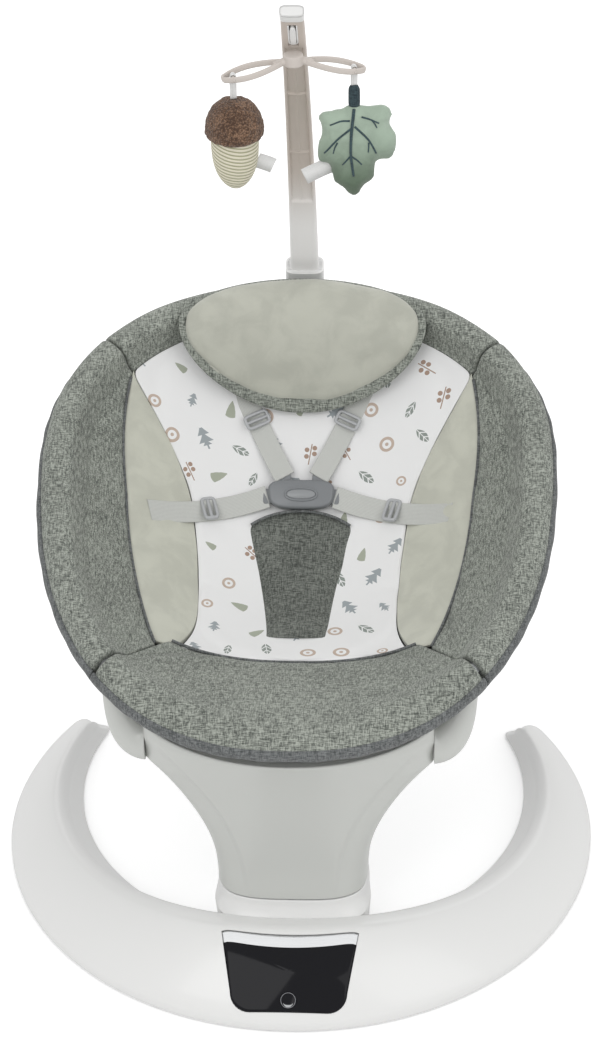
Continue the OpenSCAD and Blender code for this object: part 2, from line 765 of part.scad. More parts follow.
// head pillow: a flat crowned pad that lies along the top of the seat
module head_pillow() {
    us = [for (i = [0:pillow_rows]) pillow_u - pillow_b * cos(8 + 164 * i / pillow_rows)];
    hs = [for (u = us) pillow_a * sqrt(1 - pow((u - pillow_u) / pillow_b, 2))];
    color("gainsboro") skin([for (i = [pillow_rows:-1:0]) let (u = us[i], v = (u - pillow_u) / pillow_b)
        concat([for (j = [8:-1:-8]) let (x = hs[i] * sin(j * 11.25)) seat(x, u, pillow_bed(x, u) + 3 + pillow_t * (1 - v * v) * cos(j * 11.25))],
               [for (j = [-8:8]) let (x = hs[i] * sin(j * 11.25)) seat(x, u, pillow_bed(x, u))])]);
}

// ---- harness -----------------------------------------------------------------

buckle_u = 358;
buckle_lift = 8;
// Flat strap along a list of seat points [x, u, lift], of width w
module strap(pts, w) {
    n = len(pts) - 1;
    skin([for (i = [n:-1:0]) let (p = pts[i], a = pts[max(0, i - 1)], b = pts[min(n, i + 1)], d = [b[0] - a[0], b[1] - a[1]], l = norm(d),
        nx = -d[1] / l * w / 2, nu = d[0] / l * w / 2)
        [seat(p[0] + nx, p[1] + nu, dish(p[0] + nx, p[1] + nu) + p[2]), seat(p[0] - nx, p[1] - nu, dish(p[0] - nx, p[1] - nu) + p[2]),
         seat(p[0] - nx, p[1] - nu, dish(p[0] - nx, p[1] - nu) + p[2] + strap_t), seat(p[0] + nx, p[1] + nu, dish(p[0] + nx, p[1] + nu) + p[2] + strap_t)]]);
}

slot_x = 66;
slot_u = 462;
shoulder_x = 17;
shoulder_u = buckle_u + 13;
// Path of a shoulder strap on side s: from under the pillow to the buckle
function shoulder_path(s) = [for (i = [0:10]) let (f = i / 10)
    [s * (slot_x + (shoulder_x - slot_x) * f), slot_u + (shoulder_u + 2 - slot_u) * f, 2.6 + (buckle_lift + 2) * pow(f, 2)]];
module shoulder_strap_left() {
    color("silver") strap(shoulder_path(-1), strap_w);
}
module shoulder_strap_right() {
    color("silver") strap(shoulder_path(1), strap_w);
}

waist_x = 150;
waist_u = 322;
// Path of a waist strap on side s: from the seam of the insert to the buckle
function waist_path(s) = [for (i = [0:10]) let (f = i / 10)
    [s * (waist_x + (buckle_w / 2 + 1 - waist_x) * f), waist_u + (buckle_u - 4 - waist_u) * f, 2 + (buckle_lift + 2) * pow(f, 3)]];
module waist_strap_left() {
    color("silver") strap(waist_path(-1), strap_w);
}
module waist_strap_right() {
    color("silver") strap(waist_path(1), strap_w);
}

pad_top = 56;
pad_foot = 30;
pad_t = 12;
crotch_u0 = 190;
crotch_u1 = 337;
// crotch pad: widest under the buckle, with a rounded top
module crotch_pad() {
    color(fabric) {
        us = steps(crotch_u0, crotch_u1, 10);
        hs = [for (i = [0:10]) let (f = i / 10) (pad_foot + (pad_top - pad_foot) * pow(f, 1.6)) * (f < 0.95 ? 1 : 0.9)];
        rows(us, -hs, hs, 1 + pad_t, 1, 8);
    }
}

module buckle_frame() {
    in_seat(0, buckle_u, dish(0, buckle_u) + buckle_lift) rotate([buckle_tilt, 0, 0]) children();
}
// Slope of the seat surface under the buckle
buckle_tilt = 20;
// Rounded plan of the buckle, narrower at its lower edge
module buckle_plan(e) {
    polygon([for (i = [0:47]) let (p = oval(i * 7.5, buckle_w / 2 - e, buckle_l / 2 - e, 3.6)) [p[0] * (1 + p[1] / 260), p[1]]]);
}
module release_plan(e) {
    polygon([for (i = [0:31]) oval(i * 11.25, release_w / 2 + e, release_l / 2 + e, 2.3)]);
}
release_travel = 2.5;
module buckle_body() {
    color("gray") buckle_frame() difference() {
        linear_extrude(buckle_t) buckle_plan(0);
        translate([0, -1, buckle_t - release_travel - 3]) linear_extrude(20) release_plan(gap);
        for (s = [-1, 1]) translate([s * shoulder_x - tongue_w / 2 - gap, buckle_l / 2 - tongue_in, tongue_z - gap])
            cube([tongue_w + 2 * gap, 30, tongue_t + 2 * gap]);
        for (s = [-1, 1]) translate([s < 0 ? -buckle_w : buckle_w / 2 - 5, -8, tongue_z - gap]) cube([buckle_w / 2 + 5, 12, tongue_t + 2 * gap]);
    }
}
tongue_w = 13;
tongue_t = 2;
tongue_in = 5;
tongue_z = 3;
module buckle_tongues() {
    color("silver") buckle_frame() for (s = [-1, 1]) {
        translate([s * shoulder_x - tongue_w / 2, buckle_l / 2 - tongue_in + gap, tongue_z]) cube([tongue_w, 8, tongue_t]);
        translate([s * (buckle_w / 2 + 0.5) - 3.5, -7.5, tongue_z]) cube([7, 11, tongue_t]);
    }
}
module release_button() {
    color("darkgray") buckle_frame() translate([0, -1, buckle_t - 3 + gap]) linear_extrude(4.2) release_plan(0);
}

adjust_w = 27;
adjust_l = 16;
adjust_t = 4;
// Adjuster around a strap: a frame with a slot on each side of its bar
module adjuster() {
    difference() {
        translate([-adjust_w / 2, -adjust_l / 2, 0]) cube([adjust_w, adjust_l, adjust_t]);
        for (s = [-1, 1]) translate([-strap_w / 2 - 0.5, s * 4.2 - 1.6, -1]) cube([strap_w + 1, 3.2, adjust_t + 2]);
    }
}
module on_path(path, i, lift) {
    p = path[i];
    d = path[i + 1] - path[i - 1];
    slope = (dish(path[i + 1][0], path[i + 1][1]) - dish(path[i - 1][0], path[i - 1][1]) + d[2]) / norm([d[0], d[1]]);
    in_seat(p[0], p[1], dish(p[0], p[1]) + p[2] + strap_t + lift) rotate([0, 0, atan2(-d[0], d[1])]) rotate([atan(slope), 0, 0]) children();
}
module shoulder_adjusters() {
    color("silver") for (s = [-1, 1]) on_path(shoulder_path(s), 4, adjust_lift) adjuster();
}
module waist_sliders() {
    color("silver") for (s = [-1, 1]) on_path(waist_path(s), 5, adjust_lift) adjuster();
}
adjust_lift = 1.4;

// ---- toy bar --------------------------------------------------------------------

socket_u = seat_front + seat_rear;
bar_foot = seat(0, socket_u - tube_inset, 0);
bar_steps = 18;
bar_turn = bar_top_lean - bar_lean;
// Point and lean of the toy bar at share f of its length
function bar_lean_at(f) = bar_lean + bar_turn * f;
bar_start = seat(0, socket_u, 0) + [0, 15, 4];
function bar_at(f) = bar_start + [0, bar_r * (cos(bar_lean_at(f)) - cos(bar_lean)), bar_r * (sin(bar_lean_at(f)) - sin(bar_lean))];
function bar_ring(f, e) = let (p = bar_at(f), l = bar_lean_at(f), w = (bar_w + (bar_top_w - bar_w) * f) / 2 - e, d = (bar_d + (bar_top_d - bar_d) * f) / 2 - e)
    [for (i = [0:23]) let (q = oval(i * 15, w, d, 4)) [q[0], p[1] + q[1] * cos(l), p[2] + q[1] * sin(l)]];
module bar_form(f0, f1, e, n) {
    skin([for (i = [0:n]) bar_ring(f0 + (f1 - f0) * i / n, e)]);
}
// Frame on the bar at share f: x across, y back from its front, z along it
module on_bar(f) {
    translate(bar_at(f)) rotate([bar_lean_at(f), 0, 0]) children();
}

// socket that clamps the bar's foot to the rear of the ring tube
socket_l = 46;
module toy_bar_socket() {
    color(plastic) difference() {
        union() {
            skin([for (i = [0:6]) let (z = -30 + socket_l * i / 6) [for (k = [0:31]) let (q = oval(k * 11.25, bar_w / 2 + 5, bar_d / 2 + 5, 4))
                [q[0], bar_start[1] + q[1] * cos(bar_lean) - z * sin(bar_lean), bar_start[2] + q[1] * sin(bar_lean) + z * cos(bar_lean)]]]);
            in_seat(0, socket_u - tube_inset, 0) translate([-bar_w / 2 - 2, -5, -tube_r - 19]) {
                translate([0, 0, 5]) cube([bar_w + 4, 9, 14 - gap]);
                cube([bar_w + 4, 32, 11]);
            }
        }
        translate(bar_start) rotate([bar_lean, 0, 0]) linear_extrude(60)
            polygon([for (k = [0:31]) oval(k * 11.25, bar_w / 2 + gap, bar_d / 2 + gap, 4)]);
    }
}

cap_share = 0.97;
hub_share = 0.835;
slot_w = 9;
slot_cut = 3;
slot_from = 0.87;
slot_to = 0.955;
channel_to = 0.86;
channel_from = 0.42;
// curved bar with an open channel along the upper part of its front
module toy_bar() {
    color("tan") difference() {
        bar_form(0.002, cap_share, 0, bar_steps);
        skin([for (i = [0:12]) let (f = channel_from + (channel_to - channel_from) * i / 12, p = bar_at(f), l = bar_lean_at(f),
            w = (bar_w + (bar_top_w - bar_w) * f) / 2 - 2.5, d = (bar_d + (bar_top_d - bar_d) * f) / 2)
            [for (c = [[-w, -d - 2], [w, -d - 2], [w, -d + slot_cut], [-w, -d + slot_cut]])
                [c[0], p[1] + c[1] * cos(l), p[2] + c[1] * sin(l)]]]);
        on_bar((slot_from + slot_to) / 2) translate([-slot_w / 2, -bar_top_d, -18]) cube([slot_w, bar_top_d - 1, 36]);
    }
}

module toy_bar_cap() {
    color("white") bar_form(cap_share + 0.001, 1, -0.5, 2);
}

hub_y = 17;
hub_h2 = 11;
hub_ro = 9;
hub_at = bar_at(hub_share) - [0, hub_y + bar_top_d / 2, 0];
pin_r = 3;
// clip in the bar's slot, with the upright pin that the hanger swivels on
module hanger_clip() {
    color("white") {
        on_bar((slot_from + slot_to) / 2) {
            translate([-slot_w / 2 + gap, -bar_top_d / 2 - 3.4, -17]) cube([slot_w - 2 * gap, 2, 34]);
            translate([-slot_w / 2 + gap, -bar_top_d / 2 - 1.6, -17]) cube([slot_w - 2 * gap, 5, 34]);
        }
        translate(hub_at + [-7, -6, hub_h2 / 2 + gap]) cube([14, hub_y - 1.8, 3]);
        translate(hub_at + [0, 0, -hub_h2 / 2 - gap - 2.5]) cylinder(r = pin_r, h = hub_h2 + 2 * gap + 3);
        translate(hub_at + [0, 0, -hub_h2 / 2 - gap - 2.5]) cylinder(r = pin_r + 2, h = 2.5);
    }
}

hanger_turn = 10;
eye_x = 57;
eye_r = 1.6;
loop_from = 7;
loop_bar = 3;
loop_h = 6;
// Outline of a hanger loop, pointed at the hub
function loop_pts(e) = concat(
    [for (i = [0:18]) let (f = i / 18) [loop_from + e + (loop_l - 2 * e) * f, (loop_w / 2 - e) * pow(sin(180 * pow(f, 1.25)), 0.7)]],
    [for (i = [17:-1:1]) let (f = i / 18) [loop_from + e + (loop_l - 2 * e) * f, -(loop_w / 2 - e) * pow(sin(180 * pow(f, 1.25)), 0.7)]]);
loop_tilt = asin(loop_droop / (loop_from + loop_l));
module on_hanger(s) {
    translate(hub_at) rotate([0, 0, hanger_turn + (s < 0 ? 180 : 0)]) rotate([0, loop_tilt, 0]) children();
}
module toy_hanger() {
    color("tan") difference() {
        union() {
            translate(hub_at - [0, 0, hub_h2 / 2]) cylinder(r = hub_ro, h = hub_h2);
            for (s = [-1, 1]) on_hanger(s) {
                translate([0, 0, -loop_h / 2]) linear_extrude(loop_h) difference() {
                    polygon(loop_pts(0));
                    polygon(loop_pts(loop_bar));
                }
                translate([eye_x, 0, 0]) rotate([90, 0, 0]) cylinder(r = eye_r, h = eye_span, center = true);
            }
        }
        translate(hub_at - [0, 0, hub_h2]) cylinder(r = pin_r + run, h = 2 * hub_h2);
    }
}
eye_span = 21;

// Frame of a toy: its origin at the eye it hangs from, turned with the hanger
eye_at = [eye_x * cos(loop_tilt), 0, -eye_x * sin(loop_tilt)];
module on_eye(s) {
    translate(hub_at) rotate([0, 0, hanger_turn]) translate([s * eye_at[0], 0, eye_at[2]]) children();
}

ribbon_w = 6;
ribbon_t = 1;
ribbon_l = 24;
// ribbon looped round the eye, with its two ends sewn into the toy
module ribbon(l) {
    color("white") difference() {
        union() {
            rotate([90, 0, 0]) cylinder(r = eye_r + gap + ribbon_t, h = ribbon_w, center = true);
            translate([-ribbon_t, -ribbon_w / 2, -l]) cube([2 * ribbon_t, ribbon_w, l]);
        }
        rotate([90, 0, 0]) cylinder(r = eye_r + gap, h = ribbon_w + 2, center = true);
    }
}

acorn_cap_r = 26;
acorn_cap_h = 40;
acorn_body_r = 21;
acorn_body_h = 54;
acorn_drop = ribbon_l;
module acorn_ribbon() {
    on_eye(-1) ribbon(acorn_drop);
}
module acorn_cap() {
    color("saddlebrown") on_eye(-1) translate([0, 0, -acorn_drop - acorn_cap_h]) rotate_extrude()
        polygon(concat([[0, 0]], [for (a = [-15:15:90]) [acorn_cap_r * cos(a), 9 + (acorn_cap_h - 9) * sin(a)]]));
}
module acorn_body() {
    color("beige") on_eye(-1) translate([0, 0, -acorn_drop - acorn_cap_h]) rotate_extrude()
        polygon(concat([[0, 0]], [for (a = [0:-10:-90]) [acorn_body_r * pow(cos(a), 0.8), acorn_body_h * sin(a)]]));
}
label_w = 14;
label_h = 20;
module acorn_label() {
    color("white") on_eye(-1) translate([acorn_body_r - 2.4, -0.3, -acorn_drop - acorn_cap_h - 32]) rotate([0, 12, 0]) cube([label_w, 0.6, label_h - 6]);
}

leaf_t = 15;
stem_l = 20;
leaf_drop = ribbon_l - 2;
leaf_l = 92;
// Half outline of the leaf: lobes down one side, from the stem to the tip
leaf_half = [[5, 0], [16, -4], [32, -5], [37, -10], [34, -17], [30, -22], [35, -32], [36, -44], [33, -50], [23, -50],
    [26, -60], [22, -68], [12, -75], [6, -88], [3, -91.5]];
module leaf_plan() {
    polygon(concat(leaf_half, [for (i = [len(leaf_half) - 1:-1:0]) [-leaf_half[i][0], leaf_half[i][1]]]));
}
module on_leaf() {
    on_eye(1) rotate([0, 0, leaf_turn - hanger_turn]) translate([0, 0, -leaf_drop]) children();
}
leaf_turn = 4;
module leaf_ribbon() {
    on_eye(1) ribbon(leaf_drop);
}
module leaf_stem() {
    color("darkslategray") on_leaf() translate([0, 0, -stem_l]) linear_extrude(stem_l) scale([1, 1]) polygon([for (i = [0:23]) oval(i * 15, 5.5, 4, 2.4)]);
}
module leaf_body() {
    color("darkseagreen") on_leaf() translate([0, 0, -stem_l]) rotate([90, 0, 0]) {
        translate([0, 0, -leaf_t / 2 + 2.5]) linear_extrude(leaf_t - 5) leaf_plan();
        translate([0, -41, -leaf_t / 2]) linear_extrude(leaf_t) scale(0.86) translate([0, 41]) leaf_plan();
    }
}
module leaf_label() {
    color("white") on_leaf() translate([-43.8, -0.3, -stem_l - 78]) cube([18, 0.6, 16]);
}

base_shell();
base_bottom_cover();
rubber_feet();
cover_screws();
control_lens();
panel_trim();
power_button();
control_board();
speaker();
drive_motor();
drive_pinion();
sector_gear();
sway_shaft();
lower_bearing();
upper_bearing();
bearing_bridge();
dc_inlet();
pedestal_front_shell();
pedestal_rear_shell();
pedestal_post();
recline_tube();
friction_discs();
arm_left();
arm_right();
seat_tube();
side_panel_left();
side_panel_right();
front_panel();
top_panel();
seat_sling();
insert_wing_left();
insert_wing_right();
insert_centre();
head_pillow();
shoulder_strap_left();
shoulder_strap_right();
waist_strap_left();
waist_strap_right();
crotch_pad();
buckle_body();
buckle_tongues();
release_button();
shoulder_adjusters();
waist_sliders();
toy_bar_socket();
toy_bar();
toy_bar_cap();
hanger_clip();
toy_hanger();
acorn_ribbon();
acorn_cap();
acorn_body();
acorn_label();
leaf_ribbon();
leaf_stem();
leaf_body();
leaf_label();
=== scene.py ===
"""Electric baby swing: the finished look of its base, pedestal, ring seat, harness and toys.

Shapes are worked out in millimetres, in the frame of the part: +Z up, -Y towards the
control panel, origin on the floor under the upright sway axis. They become metres when
a mesh is made.
"""

from __future__ import annotations

import json
import logging
import math
from dataclasses import dataclass, field
from enum import Enum
from typing import Callable, Optional, Sequence, Union

import bmesh
import bpy
import numpy as np
from mathutils.bvhtree import BVHTree
from mathutils import Matrix, Vector

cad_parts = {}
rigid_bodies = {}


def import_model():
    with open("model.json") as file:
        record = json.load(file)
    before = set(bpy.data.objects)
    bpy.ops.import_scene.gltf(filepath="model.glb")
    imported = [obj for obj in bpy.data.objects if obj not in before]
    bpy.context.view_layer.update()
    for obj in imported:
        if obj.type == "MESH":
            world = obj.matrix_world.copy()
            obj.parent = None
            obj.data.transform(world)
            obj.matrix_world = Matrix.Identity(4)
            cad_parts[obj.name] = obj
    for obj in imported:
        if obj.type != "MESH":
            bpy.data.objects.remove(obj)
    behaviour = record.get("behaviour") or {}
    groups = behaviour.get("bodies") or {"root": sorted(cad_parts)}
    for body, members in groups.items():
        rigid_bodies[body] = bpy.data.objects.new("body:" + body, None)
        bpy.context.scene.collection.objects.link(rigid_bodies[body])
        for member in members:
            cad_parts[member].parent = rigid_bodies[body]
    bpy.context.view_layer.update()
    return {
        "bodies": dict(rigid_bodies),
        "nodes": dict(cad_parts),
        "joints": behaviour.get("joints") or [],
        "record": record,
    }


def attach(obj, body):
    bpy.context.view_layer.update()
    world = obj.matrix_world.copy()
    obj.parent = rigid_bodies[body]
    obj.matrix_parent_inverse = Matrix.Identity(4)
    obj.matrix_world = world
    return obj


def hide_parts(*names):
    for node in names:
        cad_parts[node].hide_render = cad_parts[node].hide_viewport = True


log = logging.getLogger("baby_swing")
MM = 0.001
Array = np.ndarray


# ---------------------------------------------------------------- meshes


def lerp(a: float, b: float, f: Array) -> Array:
    """Return the value a share f of the way from a to b."""
    return a + (b - a) * f


def oval(t: Array, a: Array, b: Array, n: float) -> tuple[Array, Array]:
    """Point of a superellipse, with t 0 at the low end and a quarter turn at +x.

    Formula: x = a sign(sin t) |sin t|^(2/n) and y = -b sign(cos t) |cos t|^(2/n).

    Args:
        t: Angle in radians.
        a: Half size in x.
        b: Half size in y.
        n: Exponent; 2 is an ellipse and more is boxier.

    Returns:
        The x and y arrays.
    """
    s, c = np.sin(t), np.cos(t)
    return a * np.sign(s) * np.abs(s) ** (2 / n), -b * np.sign(c) * np.abs(c) ** (2 / n)


def stack(x: Array, y: Array, z: Array) -> Array:
    """Join three broadcast arrays into points with a last axis of three."""
    return np.stack(np.broadcast_arrays(x, y, z), axis=-1).astype(float)


def new_object(
    name: str, points: Array, faces: Sequence[Sequence[int]], smooth: bool = True
) -> bpy.types.Object:
    """Make a mesh object at the origin from points in millimetres.

    Args:
        name: Name of the piece.
        points: Array of points, any shape with a last axis of three.
        faces: Lists of vertex numbers.
        smooth: Whether the faces are shaded smooth.

    Returns:
        The new object, linked to the scene.
    """
    mesh = bpy.data.meshes.new(name)
    mesh.from_pydata((np.reshape(points, (-1, 3)) * MM).tolist(), [], [list(map(int, f)) for f in faces])
    mesh.validate()
    mesh.update()
    mesh.polygons.foreach_set("use_smooth", [smooth] * len(mesh.polygons))
    obj = bpy.data.objects.new(name, mesh)
    bpy.context.scene.collection.objects.link(obj)
    return obj


def grid_faces(n: int, m: int, wrap_u: bool, wrap_v: bool) -> Array:
    """Vertex numbers of the quads of an n by m grid, which may close on itself."""
    i = np.arange(n if wrap_u else n - 1)[:, None]
    j = np.arange(m if wrap_v else m - 1)[None, :]
    i2, j2 = (i + 1) % n, (j + 1) % m
    return np.stack([i * m + j + 0 * i2, i2 * m + j, i2 * m + j2, i * m + j2], axis=-1).reshape(-1, 4)


def outward(obj: bpy.types.Object) -> bpy.types.Object:
    """Turn every face of a closed mesh outwards and return the object."""
    bm = bmesh.new()
    bm.from_mesh(obj.data)
    bmesh.ops.recalc_face_normals(bm, faces=bm.faces)
    bm.to_mesh(obj.data)
    bm.free()
    return obj


def arc_length(points: Array, axis: int) -> Array:
    """Distance travelled along one axis of a grid of points, from 0."""
    steps = np.linalg.norm(np.diff(points, axis=axis), axis=-1)
    pad = [(0, 0), (0, 0)]
    pad[axis] = (1, 0)
    return np.pad(np.cumsum(steps, axis=axis), pad)


def write_uv(obj: bpy.types.Object, uv: Array) -> None:
    """Write the UV map of an object from one pair in metres for each vertex."""
    layer = obj.data.uv_layers.get("UVMap") or obj.data.uv_layers.new(name="UVMap")
    index = np.zeros(len(obj.data.loops), np.int64)
    obj.data.loops.foreach_get("vertex_index", index)
    layer.data.foreach_set("uv", uv[index].astype(np.float32).ravel())


def surface(
    name: str,
    points: Array,
    wrap_u: bool = False,
    wrap_v: bool = False,
    ends: bool = False,
    closed: bool = True,
) -> bpy.types.Object:
    """Make a mesh from a grid of points, with its arc lengths as its UV map in metres.

    Args:
        name: Name of the piece.
        points: Grid of points in millimetres, of shape (rows, columns, 3).
        wrap_u: Whether the last row joins the first.
        wrap_v: Whether the last column joins the first.
        ends: Whether the first and last rows are closed by a fan of faces.
        closed: Whether the result is a closed skin whose faces are turned outwards.

    Returns:
        The new object.
    """
    n, m = points.shape[:2]
    faces = grid_faces(n, m, wrap_u, wrap_v).tolist()
    verts = points.reshape(-1, 3)
    if ends:
        base = len(verts)
        verts = np.vstack([verts, points[0].mean(0), points[-1].mean(0)])
        cols = m if wrap_v else m - 1
        faces += [[base, j, (j + 1) % m] for j in range(cols)]
        faces += [[base + 1, (n - 1) * m + (j + 1) % m, (n - 1) * m + j] for j in range(cols)]
    obj = new_object(name, verts, faces)
    u, v = arc_length(points, 0).mean(1) * MM, arc_length(points, 1).mean(0) * MM
    u = np.append(u, u[-1] + (u[-1] - u[-2] if n > 1 else 0))
    v = np.append(v, v[-1] + (v[-1] - v[-2] if m > 1 else 0))
    index = np.minimum(np.arange(len(obj.data.vertices)), n * m - 1)
    write_uv(obj, np.stack([v[index % m], u[index // m]], axis=-1))
    return outward(obj) if closed else obj


def solid(name: str, rings: Array) -> bpy.types.Object:
    """Closed skin through a stack of closed rings of points, with both ends capped."""
    return surface(name, rings, wrap_v=True, ends=True)


def hoop(name: str, rings: Array) -> bpy.types.Object:
    """Closed skin through rings of points that lead back to the first ring."""
    return surface(name, rings, wrap_u=True, wrap_v=True)


def circle(count: int) -> Array:
    """Even angles round a full turn, from 0."""
    return np.linspace(0, 2 * np.pi, count, endpoint=False)


def oval_ring(count: int, a: float, b: float, n: float) -> Array:
    """Closed superellipse outline as plan points, from its low end."""
    return np.column_stack(oval(circle(count), np.array(a), np.array(b), n))


def level(plan: Array, z: float) -> Array:
    """Plan points lifted to one height."""
    return np.column_stack([plan, np.full(len(plan), z)])


def spin(degrees: float, axis: str) -> Matrix:
    """Rotation about one axis."""
    return Matrix.Rotation(math.radians(degrees), 4, axis)


def tube_rings(path: Array, radius: Union[float, Array], sides: int = 12, flat: float = 1.0) -> Array:
    """Grid of points of a tube: a ring of points round each point of a path."""
    path = np.asarray(path, float)
    way = np.gradient(path, axis=0)
    way /= np.linalg.norm(way, axis=1, keepdims=True)
    side = np.zeros_like(way)
    ref = np.array([0.0, 0.0, 1.0]) if abs(way[0, 2]) < 0.9 else np.array([0.0, 1.0, 0.0])
    for i, w in enumerate(way):
        s = np.cross(w, ref)
        side[i] = s / np.linalg.norm(s)
        ref = np.cross(side[i], w)
    up = np.cross(side, way)
    a = circle(sides)
    r = np.broadcast_to(np.asarray(radius, float), (len(path),))[:, None, None]
    return path[:, None] + r * (
        side[:, None] * np.cos(a)[None, :, None] + flat * up[:, None] * np.sin(a)[None, :, None]
    )


def plate_rings(outline: Array, bottom: float, top: float, edge: float, crown: float = 0.0) -> Array:
    """Grid of points of a solid plate with rounded edges and a crowned top.

    Formula: rings of the outline, scaled about its centre by 1 - d / size, follow a
    quarter circle of radius edge at the bottom and at the top, and the top closes in
    rings that rise by crown (1 - k^2) at share k of the way out.

    Args:
        outline: Plan points in millimetres, shape (n, 2).
        bottom: Lowest height.
        top: Height of the top's edge.
        edge: Radius of the rounded edges.
        crown: Extra height of the middle of the top.

    Returns:
        Grid of points, still in its own plan.
    """
    centre = outline.mean(0)
    away = outline - centre
    size = np.linalg.norm(away, axis=1, keepdims=True)
    q = np.linspace(0, np.pi / 2, 5)
    rows = [(edge, k, bottom) for k in (0.1, 0.6)]
    rows += [(edge * (1 - math.sin(a)), 1.0, bottom + edge * (1 - math.cos(a))) for a in q]
    rows += [(edge * (1 - math.cos(a)), 1.0, top - edge * (1 - math.sin(a))) for a in q]
    rows += [(edge, k, top + crown * (1 - k * k)) for k in (0.97, 0.9, 0.75, 0.55, 0.3, 0.1)]
    return np.array(
        [
            level(centre + away * (1 - inset / size) * k, z)
            for inset, k, z in rows
        ]
    )


def place(points: Array, origin: Sequence[float], turn: Matrix) -> Array:
    """Turn points by a rotation matrix and move them to an origin."""
    return points @ np.array(turn.to_3x3()).T + np.asarray(origin, float)


def spline(points: Array, count: int, closed: bool = False) -> Array:
    """Smooth curve through points.

    Formula: Catmull-Rom, each piece a cubic from its two ends and their neighbours.

    Args:
        points: Array of shape (n, d).
        count: Number of points of the result.
        closed: Whether the last point leads back to the first.

    Returns:
        Array of shape (count, d).
    """
    p = np.asarray(points, float)
    p = np.vstack([p[-1:], p, p[:2]]) if closed else np.vstack([2 * p[0] - p[1], p, 2 * p[-1] - p[-2]])
    pieces = len(p) - 3
    t = np.linspace(0, pieces, count, endpoint=not closed)
    i = np.minimum(t.astype(int), pieces - 1)
    f = (t - i)[:, None]
    a, b, c, d = p[i], p[i + 1], p[i + 2], p[i + 3]
    return 0.5 * (2 * b + (c - a) * f + (2 * a - 5 * b + 4 * c - d) * f**2 + (3 * b - a - 3 * c + d) * f**3)


def bumps(points: Array, size: float, seed: int, layers: int = 5) -> Array:
    """Smooth seeded ripple at each point, from about -1 to 1.

    Formula: the mean of sines along seeded directions, whose wavelengths are near size.

    Args:
        points: Points in millimetres, last axis three.
        size: Typical wavelength in millimetres.
        seed: Seed of the directions.
        layers: Number of sines.

    Returns:
        One value for each point.
    """
    rng = np.random.default_rng(seed)
    way = rng.normal(size=(layers, 3))
    way /= np.linalg.norm(way, axis=1, keepdims=True)
    freq = 2 * np.pi / (size * rng.uniform(0.7, 1.4, layers))
    phase = rng.uniform(0, 2 * np.pi, layers)
    return np.sin((points @ way.T) * freq + phase).mean(-1) * 1.6


# ---------------------------------------------------------------- soft goods


@dataclass(frozen=True)
class Stuffing:
    """How a padded piece is filled and puffed up by the cloth solver.

    Attributes:
        voxel: Size of the remesh, in metres.
        pressure: Pressure inside the piece.
        reach: Farthest that a point may move, in metres.
        fill: How full it is, from 0 to 1, for the record.
        hold: Share of the movement that is kept.
    """

    voxel: float = 0.0
    pressure: float = 4.0
    reach: float = 0.005
    # fill: How full it is, from 0 to 1; not used.
    fill: float = 0.6
    hold: float = 1.0


CLOTH_FRAMES = 20
CLOTH = {
    "quality": 4,
    "mass": 0.3,
    "use_pressure": True,
    "tension_stiffness": 15,
    "compression_stiffness": 15,
    "shear_stiffness": 5,
    "bending_stiffness": 0.5,
}


def remesh(obj: bpy.types.Object, voxel: float) -> None:
    """Rebuild a closed mesh from even voxels, in place."""
    mod = obj.modifiers.new("even", "REMESH")
    mod.mode = "VOXEL"
    mod.voxel_size = voxel
    mod.use_smooth_shade = True
    bake_modifiers(obj)


def bake_modifiers(obj: bpy.types.Object) -> None:
    """Apply every modifier of an object to its mesh."""
    graph = bpy.context.evaluated_depsgraph_get()
    mesh = bpy.data.meshes.new_from_object(obj.evaluated_get(graph))
    obj.modifiers.clear()
    old, obj.data = obj.data, mesh
    mesh.name = obj.name
    bpy.data.meshes.remove(old)


def coords(obj: bpy.types.Object) -> Array:
    """Vertex positions of an object in metres."""
    co = np.zeros(len(obj.data.vertices) * 3, np.float32)
    obj.data.vertices.foreach_get("co", co)
    return co.reshape(-1, 3).astype(float)


def set_coords(obj: bpy.types.Object, co: Array) -> None:
    """Write vertex positions in metres back to an object."""
    obj.data.vertices.foreach_set("co", np.asarray(co, np.float32).ravel())
    obj.data.update()


def normals(obj: bpy.types.Object) -> Array:
    """Vertex normals of an object."""
    no = np.zeros(len(obj.data.vertices) * 3, np.float32)
    obj.data.vertex_normals.foreach_get("vector", no)
    return no.reshape(-1, 3).astype(float)


def sewn(
    rows: int, columns: int, ends: float, sides: Sequence[int] = (), free: Optional[int] = None
) -> Array:
    """Hold of each point of a grid whose end rows, and some columns, are sewn down.

    Formula: the hold falls from 1 at the first and last row by exp(-rows / ends), is 0.9
    on the named columns, and is 1 from column free on, which is the hidden underside.
    """
    i = np.arange(rows)[:, None] + np.zeros((1, columns))
    hold = np.exp(-np.minimum(i, rows - 1 - i) / max(ends, 1e-6))
    for column in sides:
        hold[:, column] = np.maximum(hold[:, column], 0.9)
    if free is not None:
        hold[:, free:] = 1
    return np.append(hold.ravel(), [1, 1])


def pad_hold(grid: Array, ends: float) -> Array:
    """Hold of a pad's grid whose rings are a top and an underside of the same width."""
    rows, columns = grid.shape[:2]
    half = columns // 2
    return sewn(rows, columns, ends, (0, half - 1, half, columns - 1), half + 1)


